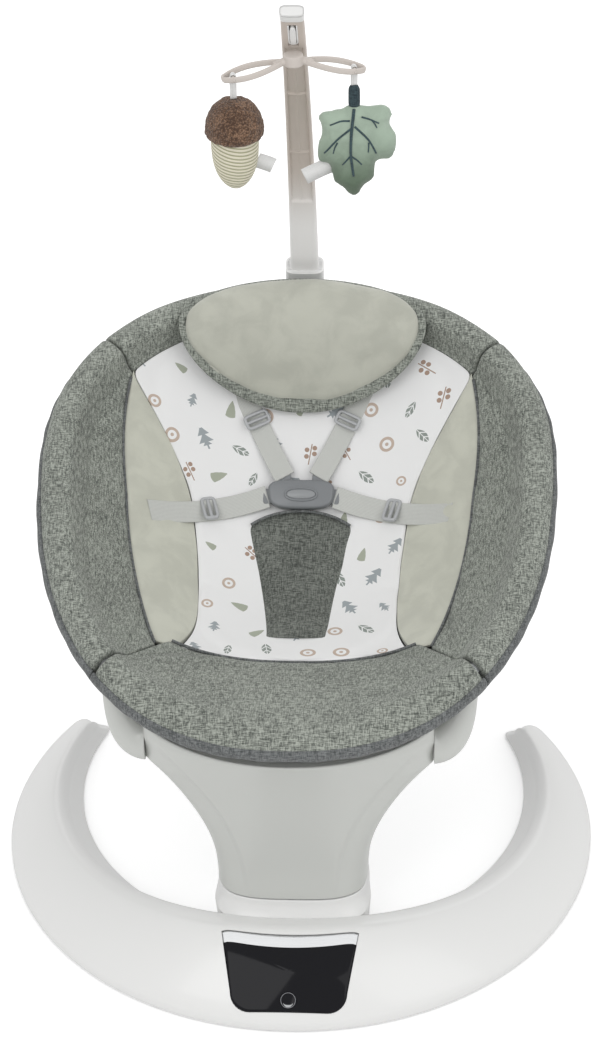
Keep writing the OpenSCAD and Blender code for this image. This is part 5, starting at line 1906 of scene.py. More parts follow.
    def head_pillow(self) -> None:
        """Make the pillow: a velvet cushion with a flat melange border sewn round it."""
        rim = self.pillow_grid(0, 0.2, 5)
        back = solid("head_pillow_border", rim)
        puff(back, Stuffing(pressure=2.0, reach=0.0015, fill=0.3), pad_hold(rim, 2.5))
        self.keep(back, Look.MELANGE, "melange_fabric")
        height = self.pillow[3]
        cushion = self.pillow_grid(7, 3.4, height - 5)
        top = solid("head_pillow_velvet", cushion)
        puff(top, Stuffing(pressure=4.0, reach=0.005, fill=0.7), pad_hold(cushion, 2.5))
        self.crease(top, 1.1, 60, 31)
        self.crease(top, 0.5, 26, 32)
        self.keep(top, Look.PILLOW, "velvet", "head_pillow")

    def sling(self) -> None:
        """Make the sling that hangs under the pads, as one thin sheet of cloth."""
        f = self.form
        u = lerp(
            f.front * (1 - self.sling_share) + 1,
            f.front + self.sling_share * f.rear - 1,
            np.linspace(0, 1, 60)
        )[:, None]
        half = np.maximum(12, f.scaled_half(u, self.sling_share))
        x = half * np.sin(np.linspace(-1, 1, 41) * np.pi / 2)[None]
        top = f.at(x, u, f.dish(x, u) - self.form.panel_t - 3.0)
        foot = f.at(x, u, f.dish(x, u) - self.form.panel_t - 4.2)
        sheet = solid("seat_sling_cloth", np.concatenate([top[:, ::-1], foot], axis=1))
        self.keep(sheet, Look.SLING, "sling_cloth", "seat_sling")

    def build(self) -> None:
        """Make every piece of the cover."""
        self.panels()
        self.insert()
        self.head_pillow()
        self.sling()
        t = np.linspace(-self.rear_seam + 2, -self.front_seam - 1, 120)
        self.piping("left_inner_piping", t, self.side_edge(t), 1.2, 1.5)
        self.piping("right_inner_piping", -t, self.side_edge(t), 1.2, 1.5)
        t = np.linspace(-self.front_seam + 1, self.front_seam - 1, 120)
        self.piping("front_inner_piping", t, self.front_edge(t), 1.2, 1.6)


# ---------------------------------------------------------------- harness


@dataclass
class Harness(Assembly):
    """Shoulder and waist webbing, crotch pad, buckle and sliders."""

    form: SeatForm = field(default_factory=SeatForm)
    body: str = "seat"
    strap_w: float = 21.0
    strap_t: float = 1.6
    buckle: tuple[float, float, float] = (66.0, 30.0, 12.0)
    buckle_u: float = 358.0
    buckle_lift: float = 8.0
    buckle_tilt: float = 20.0
    adjust: tuple[float, float, float] = (27.0, 16.0, 4.0)
    shoulder_top: tuple[float, float] = (66.0, 462.0)
    shoulder_foot: tuple[float, float] = (17.0, 15.0)
    waist_end: tuple[float, float] = (150.0, 322.0)
    crotch_u: tuple[float, float] = (190.0, 337.0)
    crotch_t: float = 12.0

    def shoulder(self, side: float, f: Array) -> Array:
        """Points [x, u, lift] of a shoulder strap at shares f of its length."""
        (x0, u0), (x1, above) = self.shoulder_top, self.shoulder_foot
        u = lerp(u0, self.buckle_u + above, f)
        return np.stack([side * lerp(x0, x1, f), u, 2.6 + (self.buckle_lift + 2) * f**2], axis=-1)

    def waist(self, side: float, f: Array) -> Array:
        """Points [x, u, lift] of a waist strap at shares f of its length."""
        x0, u0 = self.waist_end
        x, u = side * lerp(x0, self.buckle[0] / 2 + 1, f), lerp(u0, self.buckle_u - 4, f)
        return np.stack([x, u, 2 + (self.buckle_lift + 2) * f**3], axis=-1)

    def band(self, name: str, path: Array, width: float, thick: float, fray: float = 0.0) -> bpy.types.Object:
        """Flat strap that lies along a path on the seat.

        Formula: at each point a thin superellipse section, width across and thick in
        height, stands on the seat's surface at right angles to the path.
        """
        f = self.form
        way = np.gradient(path[:, :2], axis=0)
        way /= np.linalg.norm(way, axis=1, keepdims=True)
        t = circle(26)
        across, up = oval(t, np.array(width / 2), np.array(thick / 2), 5.0)
        x = path[:, None, 0] - way[:, None, 1] * across[None]
        u = path[:, None, 1] + way[:, None, 0] * across[None]
        edge = 0.25 * np.sin(arc_length(f.at(path[:, 0], path[:, 1], path[:, 2])[:, None], 0)[:, :1] / 9)
        lift = path[:, None, 2] + thick / 2 + up[None] + fray * edge * (across[None] / width)
        return solid(name, f.at(x, u, f.dish(x, u) + lift))

    def frame(self, points: Array) -> Array:
        """Points of the buckle's own frame, placed on the seat."""
        f = self.form
        lift = float(f.dish(np.array(0.0), np.array(self.buckle_u))) + self.buckle_lift
        turn = spin(f.tilt + self.buckle_tilt, "X")
        return place(points, f.at(np.array(0.0), np.array(self.buckle_u), np.array(lift)), turn)

    def outline(self, inset: float) -> Array:
        """Rounded plan of the buckle, a little wider at its upper edge."""
        x, y = oval_ring(96, self.buckle[0] / 2 - inset, self.buckle[1] / 2 - inset, 3.6).T
        return np.column_stack([x * (1 + y / 260), y])

    def release_outline(self, grow: float) -> Array:
        """Lens-shaped plan of the release button."""
        return oval_ring(64, 14.5 + grow, 5.0 + grow, 2.3) - (0, 1)

    def slider(self, name: str, path: Callable[[Array], Array], share: float) -> bpy.types.Object:
        """Slider with two slots and a bar between them, lying on a strap at a share of its path."""
        f = self.form
        w, l, t = self.adjust
        p0, p, p1 = path(np.array(share - 0.1)), path(np.array(share)), path(np.array(share + 0.1))
        d = p1 - p0
        rise = float(f.dish(p1[0], p1[1]) - f.dish(p0[0], p0[1]) + d[2]) / float(np.hypot(d[0], d[1]))
        turn = (
            spin(f.tilt, "X")
            @ Matrix.Rotation(math.atan2(-d[0], d[1]), 4, "Z")
            @ Matrix.Rotation(math.atan(rise), 4, "X")
        )
        origin = f.at(p[0], p[1], f.dish(p[0], p[1]) + p[2] + self.strap_t + 1.4)
        plan = oval_ring(80, w / 2 - 1.6, l / 2 - 1.6, 6.0)
        loop = place(level(plan, t / 2), origin, turn)
        normal = np.array(turn.to_3x3()) @ np.array([0, 0, 1.0])
        rings = loop_rings(loop, normal, 1.7, t / 2, 14)
        frame = hoop(name, rings)
        s = np.linspace(-w / 2 + 2, w / 2 - 2, 12)
        mid = place(np.column_stack([s, 0 * s, np.full(12, t / 2)]), origin, turn)
        bar = solid(name + "_bar", tube_rings(mid, 1.9, 12, 0.85))
        return merged(frame, bar)

    def crotch(self) -> None:
        """Make the crotch pad with its arched top and its edge piping."""
        f = self.form
        (u0, u1), t = self.crotch_u, self.crotch_t
        g = np.linspace(0, 1, 50)[:, None]
        u = u0 + (u1 - u0) * g
        half = (30 + 26 * g**1.6) * np.where(
            g > 0.9, np.sqrt(np.maximum(0.02, 1 - ((g - 0.9) / 0.105) ** 2)) * 0.45 + 0.55, 1
        )
        s = np.sin(np.linspace(-1, 1, 33) * np.pi / 2)[None]
        x = half * s
        arch = 9 * (1 - s**2) * np.clip((g - 0.8) / 0.2, 0, 1)
        uu = u + arch
        puffed = (1 - np.abs(s) ** 4) * np.sin(np.pi * np.clip(g * 0.96 + 0.02, 0, 1)) ** 0.35
        above = f.at(x, uu, f.dish(x, uu) + 3 + (t - 3) * puffed)
        below = f.at(x, uu, f.dish(x, uu) + 1.2)
        grid = np.concatenate([above[:, ::-1], below], axis=1)
        pad = solid("crotch_pad_cloth", grid)
        puff(pad, Stuffing(pressure=3.0, reach=0.0025, fill=0.5), pad_hold(grid, 1.5))
        # The pad's darker melange is painted shade.
        self.keep(pad, Look.PAD_SHADED, "melange_fabric", "crotch_pad")
        arc = np.linspace(-1, 1, 60)
        xs = 50 * arc
        us = u1 - 9 + 13 * (1 - arc**2)
        rim = f.at(xs, us, f.dish(xs, us) + 12.2 - 5.5 * arc**4)
        roll = solid("crotch_pad_piping", tube_rings(rim, 1.5, 10))
        self.keep(roll, Look.PIPING, "melange_fabric")

    def build(self) -> None:
        """Make straps, pad, buckle, tongues and sliders."""
        f = np.linspace(0, 1, 70)
        for side, word in ((-1, "left"), (1, "right")):
            for kind, line in (("shoulder", self.shoulder), ("waist", self.waist)):
                node = f"{kind}_strap_{word}"
                strap = self.band(f"{node}_webbing", line(side, f), self.strap_w, self.strap_t, 1.0)
                self.keep(strap, Look.WEBBING, "webbing", node)
        self.crotch()
        shell = solid(
            "buckle_shell", self.frame(plate_rings(self.outline(0), 0, self.buckle[2] - 1.2, 3.2, 1.6))
        )
        self.keep(shell, Look.BUCKLE, "buckle_plastic", "buckle_body")
        loop = level(self.release_outline(1.4), self.buckle[2] + 0.1)
        collar = hoop("buckle_collar", loop_rings(self.frame(loop), self.normal(), 1.1, 0.9, 10))
        self.keep(collar, Look.BUCKLE, "buckle_plastic")
        for side, word in ((-1, "left"), (1, "right")):
            x, y = oval_ring(48, 6.2, 7.0, 4).T
            up = np.column_stack([x + side * 17, y + self.buckle[1] / 2 + 1.5])
            tongue = solid(f"shoulder_tongue_{word}", self.frame(plate_rings(up, 2.6, 5.6, 1.0)))
            self.keep(tongue, Look.BUCKLE, "buckle_plastic", *(["buckle_tongues"] if side < 0 else []))
            out = np.column_stack([x * 0.7 + side * (self.buckle[0] / 2 + 1.2), y * 1.15 - 2])
            hook = solid(f"waist_tongue_{word}", self.frame(plate_rings(out, 2.6, 6.0, 1.0)))
            self.keep(hook, Look.BUCKLE, "buckle_plastic")
        for side, word in ((-1, "left"), (1, "right")):
            for kind, line, share, node in (
                ("shoulder", self.shoulder, 0.4, "shoulder_adjusters"),
                ("waist", self.waist, 0.5, "waist_sliders"),
            ):
                made = self.slider(f"{kind}_slider_{word}", lambda v, line=line, s=side: line(s, v), share)
                self.keep(made, Look.SLIDER, "slider_plastic", *([node] if side < 0 else []))

    def normal(self) -> Array:
        """Direction out of the buckle's face."""
        turn = spin(self.form.tilt + self.buckle_tilt, "X")
        return np.array(turn.to_3x3()) @ np.array([0, 0, 1.0])


@dataclass
class ReleaseButton(Assembly):
    """Button in the middle of the buckle."""

    body: str = "release_button"

    def build(self, harness: Harness) -> None:
        """Make the button with its crowned face."""
        low = harness.buckle[2] - 2.7
        rings = plate_rings(harness.release_outline(-0.2), low, low + 3.6, 0.9, 1.0)
        button = solid("release_button_cap", harness.frame(rings))
        self.keep(button, Look.BUTTON, "buckle_plastic", "release_button")


def loop_rings(path: Array, normal: Array, wide: float, high: float, sides: int) -> Array:
    """Rings round a closed flat path, wide in its plane and high along its normal."""
    way = np.roll(path, -1, axis=0) - np.roll(path, 1, axis=0)
    way /= np.linalg.norm(way, axis=1, keepdims=True)
    side = np.cross(way, normal)
    side /= np.linalg.norm(side, axis=1, keepdims=True)
    a = circle(sides)
    x, z = oval(a, np.array(wide), np.array(high), 2.8)
    flat = path[:, None] + side[:, None] * x[None, :, None]
    return flat + np.asarray(normal)[None, None] * z[None, :, None]


def merged(first: bpy.types.Object, *others: bpy.types.Object) -> bpy.types.Object:
    """Join other objects into the first and return it."""
    bm = bmesh.new()
    for obj in (first, *others):
        bm.from_mesh(obj.data)
    bm.to_mesh(first.data)
    bm.free()
    first.data.polygons.foreach_set("use_smooth", [True] * len(first.data.polygons))
    for obj in others:
        bpy.data.objects.remove(obj)
    return first


# ---------------------------------------------------------------- arms and toy bar


@dataclass
class SeatArms(Assembly):
    """Two arms that carry the ring tube from the recline joints."""

    form: SeatForm = field(default_factory=SeatForm)
    body: str = "seat"
    head_w: float = Pedestal.head_w
    pin: tuple[float, float] = (-27.0, 250.0)
    disc_r: float = 21.0
    angle: float = 45.0

    def build(self) -> None:
        """Make both arms: a tapered tube along a quadratic curve, with a rounded disc at the joint.

        Formula: the path bends from the joint to the ring tube, and the radius falls as
        21 - 5 f - 10 f^1.7.
        """
        f = np.concatenate([[0, 0, 0.004, 0.012], np.linspace(0.03, 0.985, 40)])
        rim = self.form.rim(np.array(self.angle), np.array(self.form.inset + 4))
        end = self.form.at(rim[0], rim[1], np.array(-3.0))
        for side, word in ((-1, "left"), (1, "right")):
            start = np.array([self.head_w / 2 + 0.3, *self.pin])
            bend = np.array([self.head_w / 2 + 26, *self.pin])
            g = f[:, None]
            path = start * (1 - g) ** 2 + bend * 2 * g * (1 - g) + end * g**2
            way = (bend - start) * (1 - g) + (end - bend) * g
            way /= np.hypot(way[:, :1], way[:, 2:])
            r = self.disc_r - 5 * f - (self.disc_r - 11) * f**1.7
            r[0], r[1] = r[2] * 0.4, r[2] - 1.6
            a = circle(48)[None]
            ring = np.stack(
                [
                    path[:, :1] - way[:, 2:] * r[:, None] * np.cos(a),
                    path[:, 1:2] + r[:, None] * np.sin(a),
                    path[:, 2:] + way[:, :1] * r[:, None] * np.cos(a)
                ],
                axis=-1,
            )
            ring[..., 0] *= side
            arm = solid(f"seat_arm_{word}", ring)
            self.keep(arm, Look.PEDESTAL, "shell_plastic", f"arm_{word}")


@dataclass
class ToyBar(Assembly):
    """Curved toy bar with its socket, its channelled front, its clip and its cap."""

    form: SeatForm = field(default_factory=SeatForm)
    body: str = "seat"
    foot_w: float = 29.0
    top_w: float = 21.0
    foot_d: float = 17.0
    top_d: float = 10.0
    lean: float = 14.0
    top_lean: float = 38.0
    radius: float = 980.0
    hub_share: float = 0.835
    hub_y: float = 17.0
    channel: tuple[float, float] = (0.275, 0.86)
    slot: tuple[float, float] = (0.87, 0.955)
    cap_share: float = 0.97
    cross_ribs: tuple[float, ...] = (0.795, 0.67, 0.45)
    corner: float = 0.95

    @property
    def start(self) -> Array:
        """Foot of the bar, just behind the rear of the seat."""
        f = self.form
        return f.at(np.array(0.0), np.array(f.front + f.rear), np.array(0.0)) + np.array([0, 15, 4])

    def at(self, f: Array) -> Array:
        """Point of the bar's centre line: an arc whose lean grows evenly from foot to top."""
        l0, l = math.radians(self.lean), np.radians(self.lean + (self.top_lean - self.lean) * np.asarray(f))
        y = self.start[1] + self.radius * (np.cos(l) - math.cos(l0))
        z = self.start[2] + self.radius * (np.sin(l) - math.sin(l0))
        return stack(0 * y, y, z)

    @staticmethod
    def leaned(origin: Array, lean: float, x: Array, y: Array, z: Array) -> Array:
        """Points across, back and up in a frame at origin that leans back by an angle in radians."""
        c, s = math.cos(lean), math.sin(lean)
        return stack(x, origin[1] + y * c - z * s, origin[2] + y * s + z * c)

    def section(self, f: Array, x: Array, y: Array) -> Array:
        """Points at offsets x across and y back from the centre line at shares f."""
        l = np.radians(self.lean + (self.top_lean - self.lean) * f)
        p = self.at(f)
        return stack(x, p[..., 1] + y * np.cos(l), p[..., 2] + y * np.sin(l))

    def skin(self, f: Array, grow: float, relief: bool) -> Array:
        """Grid of the bar: superellipses of exponent 4, with the channel pressed into the front.

        Formula: where |x| is less than the half width less 2.6, the front is pushed in by
        2.4, eased at its edges, except at the cross ribs and along the thin middle line.
        """
        g = f[:, None]
        w = (self.foot_w + (self.top_w - self.foot_w) * g) / 2 + grow
        d = (self.foot_d + (self.top_d - self.foot_d) * g) / 2 + grow
        stops = (-self.corner, self.corner, 2 * np.pi - self.corner)
        t = np.concatenate([np.linspace(a, b, 60, endpoint=False) for a, b in zip(stops, stops[1:])])[None]
        x, y = oval(t, w, d, 4.0)
        if relief:
            into = np.clip((w - 2.6 - np.abs(x)) / 0.9, 0, 1)
            along = np.clip((g - self.channel[0]) / 0.006, 0, 1)
            along = along * np.clip((self.channel[1] - g) / 0.004, 0, 1)
            ribs = np.ones_like(x)
            for at in self.cross_ribs:
                line = at + 0.008 * (x / w) ** 2
                ribs = np.minimum(ribs, np.clip(np.abs(g - line) / 0.0022 - 0.6, 0, 1))
            spine = np.clip((np.abs(x) - 0.35) / 0.4, 0, 1)
            front = np.clip(-y / d * 3 - 1.5, 0, 1)
            y = y + front * into * along * (2.4 * np.minimum(0.2 + 0.8 * ribs, 0.55 + 0.45 * spine))
            within = np.clip((g - self.slot[0]) / 0.003, 0, 1) * np.clip((self.slot[1] - g) / 0.003, 0, 1)
            notch = np.clip((4.6 - np.abs(x)) / 0.5, 0, 1) * within
            y = np.where(front * notch > 0, y + front * notch * (d * 1.3), y)
        return self.section(g, x, y)

    def build(self) -> None:
        """Make the bar, its cap, the clip in its slot and the socket at its foot."""
        ends = np.array([0.0, 0.0, 0.0015])
        f = np.concatenate([0.002 + ends, np.linspace(0.006, self.cap_share - 0.002, 360), [self.cap_share]])
        bar = solid("toy_bar_shell", self.skin(f, 0, True))
        sharp(bar, 35)
        # The bar's taupe, fading to white at its foot, is painted shade.
        self.keep(bar, Look.BAR, "bar_plastic", "toy_bar")
        q = np.linspace(0, np.pi / 2, 7)
        g = np.concatenate(
            [
                [self.cap_share + 0.001] * 2,
                self.cap_share + 0.003 + (1 - self.cap_share - 0.003) * np.linspace(0, 1, 8),
                [1.0] * 6
            ]
        )
        grow = np.concatenate([[-0.6, 0.3, 0.5], np.full(7, 0.5), 0.5 - 2.5 * (1 - np.cos(q[1:]))])
        lid = np.array([self.skin(np.array([a]), b, False)[0] for a, b in zip(g, grow)])
        lid[10:] += np.array([0, -0.35, 1.0]) * (2.2 * np.sin(q[1:]) - 2.2)[:, None, None]
        cap = solid("toy_bar_cap_shell", lid)
        self.keep(cap, Look.SHELL, "shell_plastic", "toy_bar_cap")
        self.clip()
        z = np.linspace(-30, 16, 20)
        grow2 = 5 - 1.6 * (np.abs(z + 7) / 23) ** 8
        t = circle(72)
        x, y = oval(t[None], (self.foot_w / 2 + grow2)[:, None], (self.foot_d / 2 + grow2)[:, None], 4.0)
        ring = self.leaned(self.start, math.radians(self.lean), x, y, z[:, None])
        self.keep(solid("toy_bar_socket_shell", ring), Look.SHELL, "shell_plastic")

    def clip(self) -> None:
        """Make the U of the clip in the slot and its white tongue."""
        mid = (self.slot[0] + self.slot[1]) / 2
        a = np.linspace(-1, 1, 40)
        u = np.concatenate(
            [
                np.column_stack([np.full(20, -3.9), np.linspace(17, -11, 20)]),
                np.column_stack(
                    [-3.9 * np.cos(np.pi * (a + 1) / 2), -11 - 3.9 * np.sin(np.pi * (a + 1) / 2)]
                ),
                np.column_stack([np.full(20, 3.9), np.linspace(-11, 17, 20)])
            ]
        )
        l = math.radians(self.lean + (self.top_lean - self.lean) * mid)
        p = self.at(np.array(mid))

        def lay(x: Array, y: Array, z: Array) -> Array:
            """Point in the frame of the bar at the middle of its slot."""
            return self.leaned(p, l, x, y, z)

        rim = solid(
            "hanger_clip_rim", tube_rings(lay(u[:, 0], np.full(80, -self.top_d / 2 + 0.1), u[:, 1]), 0.8, 10)
        )
        self.keep(rim, Look.SHELL, "shell_plastic")
        t = circle(64)
        x, z = oval(t, np.array(2.9), np.array(14.5), 3.2)
        rows = plate_rings(np.column_stack([x, z]), -self.top_d / 2 - 1.4, -self.top_d / 2 + 3, 0.8)
        tongue = solid("hanger_clip_tongue", lay(rows[..., 0], rows[..., 2], rows[..., 1]))
        self.keep(tongue, Look.SHELL, "shell_plastic", "hanger_clip")


@dataclass
class Hanger(Assembly):
    """Two flat loops that swivel on a pin in front of the toy bar."""

    bar: ToyBar = field(default_factory=ToyBar)
    body: str = "hanger"
    turn: float = 10.0
    loop_l: float = 62.0
    loop_w: float = 27.0
    loop_from: float = 7.0
    droop: float = 15.0
    eye: float = 57.0

    @property
    def hub(self) -> Array:
        """Middle of the hub."""
        ahead = self.bar.hub_y + self.bar.top_d / 2
        return self.bar.at(np.array(self.bar.hub_share)) - np.array([0, ahead, 0])

    @property
    def tilt(self) -> float:
        """Angle by which the loops hang below level."""
        return math.asin(self.droop / (self.loop_from + self.loop_l))

    def frame(self, points: Array, side: float) -> Array:
        """Points of a loop's own frame, placed on the hub."""
        turn = spin(self.turn + (180 if side < 0 else 0), "Z") @ Matrix.Rotation(self.tilt, 4, "Y")
        return place(points, self.hub, turn)

    def eye_at(self, side: float) -> Array:
        """Point that a toy hangs from."""
        a = math.radians(self.turn)
        x = side * self.eye * math.cos(self.tilt)
        return self.hub + np.array([x * math.cos(a), x * math.sin(a), -self.eye * math.sin(self.tilt)])

    def build(self) -> None:
        """Make the hub and both loops.

        Formula: a loop's half width is (w / 2 - 1.5) sin(pi f^1.25)^0.7 at share f of its length.
        """
        f = np.linspace(0, 1, 60)
        half = (self.loop_w / 2 - 1.5) * np.maximum(0, np.sin(np.pi * f**1.25)) ** 0.7
        x = self.loop_from + 1.5 + (self.loop_l - 3) * f
        loop = np.column_stack(
            [np.concatenate([x, x[-2:0:-1]]), np.concatenate([half, -half[-2:0:-1]]), np.zeros(118)]
        )
        loop = spline(loop[::3], 160, closed=True)
        up = np.array([0, 0, 1.0])
        for side, word in ((-1, "left"), (1, "right")):
            ring = self.frame(loop_rings(loop, up, 1.3, 2.9, 14), side)
            eye = self.frame(
                tube_rings(
                    np.column_stack([np.full(8, self.eye), np.linspace(-10.8, 10.8, 8), np.zeros(8)]), 1.5, 12
                ),
                side
            )
            stub = self.frame(
                tube_rings(
                    np.column_stack([np.linspace(3, 19, 12), np.zeros(12), np.zeros(12)]),
                    5.2 - 2.6 * np.linspace(0, 1, 12) ** 0.7,
                    16
                ),
                side
            )
            loop_obj = hoop(f"hanger_loop_{word}", ring)
            eye_obj = solid("eye_bar", eye)
            stub_obj = solid("stub", stub)
            # Loops and hub: white plastic painted taupe as shade.
            self.keep(merged(loop_obj, eye_obj, stub_obj), Look.LOOP_SHADED, "bar_plastic")
        t = circle(64)
        rings = plate_rings(np.column_stack([9 * np.sin(t), -9 * np.cos(t)]), -5.5, 5.2, 1.4, 0.6) + self.hub
        self.keep(solid("hanger_hub", rings), Look.LOOP_SHADED, "bar_plastic", "toy_hanger")


# ---------------------------------------------------------------- toys


@dataclass
class Toy(Assembly):
    """A stuffed toy on a looped ribbon, with a blank sewn-in label."""

    hanger: Hanger = field(default_factory=Hanger)
    side: float = -1.0

    def at(self, points: Array) -> Array:
        """Points of the toy's own frame, whose origin is the eye it hangs from."""
        return place(points, self.hanger.eye_at(self.side), spin(self.hanger.turn, "Z"))

    def ribbon(self, name: str, length: float, node: str) -> None:
        """Flat ribbon that loops over the eye and runs down to the toy.

        Formula: a band 6 wide follows a teardrop, over the eye and down both sides.
        """
        a = np.linspace(-0.35, np.pi + 0.35, 26)
        top = np.column_stack([2.4 * np.cos(a), 2.4 * np.sin(a)])
        down = np.linspace(0, 1, 14)[1:, None]
        right = top[0] + (np.array([0.7, -length - 2]) - top[0]) * down
        left = top[-1] + (np.array([-0.7, -length - 2]) - top[-1]) * down
        line = np.vstack([right[::-1], top, left])
        line = spline(line[::2], 60)
        way = np.gradient(line, axis=0)
        way /= np.linalg.norm(way, axis=1, keepdims=True)
        t = circle(16)
        w, h = oval(t, np.array(3.0), np.array(0.42), 4.0)
        y = line[:, :1] - way[:, 1:] * h[None]
        z = line[:, 1:] + way[:, :1] * h[None]
        grid = stack(w[None], y, z)
        eye_turn = 1 - np.clip(-grid[..., 2:] / 6, 0, 1)
        grid = np.concatenate(
            [
                grid[..., :1] * (1 - eye_turn) + grid[..., 1:2] * eye_turn,
                grid[..., 1:2] * (1 - eye_turn) + grid[..., :1] * eye_turn,
                grid[..., 2:]
            ],
            axis=-1
        )
        band = solid(name, self.at(grid))
        self.keep(band, Look.RIBBON, "ribbon_cloth", node)

    def label(
        self, name: str, corner: Sequence[float], size: tuple[float, float], lean: float, node: str
    ) -> None:
        """Blank folded label: a thin curved strip with a fold at its outer end."""
        w, h = size
        s = np.linspace(0, 1, 24)
        line = np.column_stack([w * s, 1.6 * np.sin(2.2 * s)])
        thick = 0.35
        top = stack(line[:, :1], line[:, 1:] + thick, np.array([[0, h]]))
        foot = stack(line[:, :1], line[:, 1:] - thick, np.array([[0, h]]))
        grid = np.concatenate([top, foot[:, ::-1]], axis=1)
        turn = spin(lean, "Y")
        strip = solid(name, self.at(place(grid, corner, turn)))
        self.keep(strip, Look.RIBBON, "ribbon_cloth", node)


@dataclass
class Acorn(Toy):
    """Stuffed acorn: a curly cap over a striped body."""

    body: str = "acorn"
    drop: float = 21.5
    cap_h: float = 42.0
    cap_r: float = 27.2
    body_r: float = 22.3
    body_h: float = 56.0

    def turned(self, name: str, radius: Array, z: Array, sides: int = 64) -> bpy.types.Object:
        """Round skin from a profile of radii and heights."""
        a = circle(sides)[None]
        grid = self.at(stack(radius[:, None] * np.cos(a), radius[:, None] * np.sin(a), z[:, None] + 0 * a))
        return solid(name, grid)

    def build(self) -> None:
        """Make the ribbon, the cap, the body and the label."""
        self.ribbon("acorn_ribbon_band", self.drop, "acorn_ribbon")
        foot = -self.drop - self.cap_h
        a = np.radians(np.linspace(-60, 89, 40))
        cap = self.turned(
            "acorn_cap_boucle",
            (self.cap_r + 0.2) * np.cos(a) ** 0.8,
            foot + 9 + np.where(a > 0, (self.cap_h - 10) * np.sin(a), 9 * np.sin(a))
        )
        puff(cap, Stuffing(voxel=0.0016, pressure=2.0, reach=0.001, fill=0.8))
        co = coords(cap)
        curl = bumps(co / MM, 6.0, 41, 12) * 0.7 + bumps(co / MM, 3.2, 42, 12) * 0.7
        set_coords(cap, co + normals(cap) * (curl * MM)[:, None])
        self.keep(cap, Look.BOUCLE, "acorn_boucle", "acorn_cap")
        b = 1 - np.linspace(1, 0.02, 44) ** 2
        body = self.turned(
            "acorn_body_jersey",
            self.body_r * np.maximum(0.02, 1 - b**3) ** 0.6,
            foot + 5 - (self.body_h - 2) * b
        )
        puff(body, Stuffing(voxel=0.0025, pressure=3.0, reach=0.0012, fill=0.8))
        self.keep(body, Look.JERSEY, "acorn_cloth", "acorn_body")
        self.label("acorn_label_tab", (self.body_r - 5.5, 0, foot - 29), (17, 15), 26, "acorn_label")


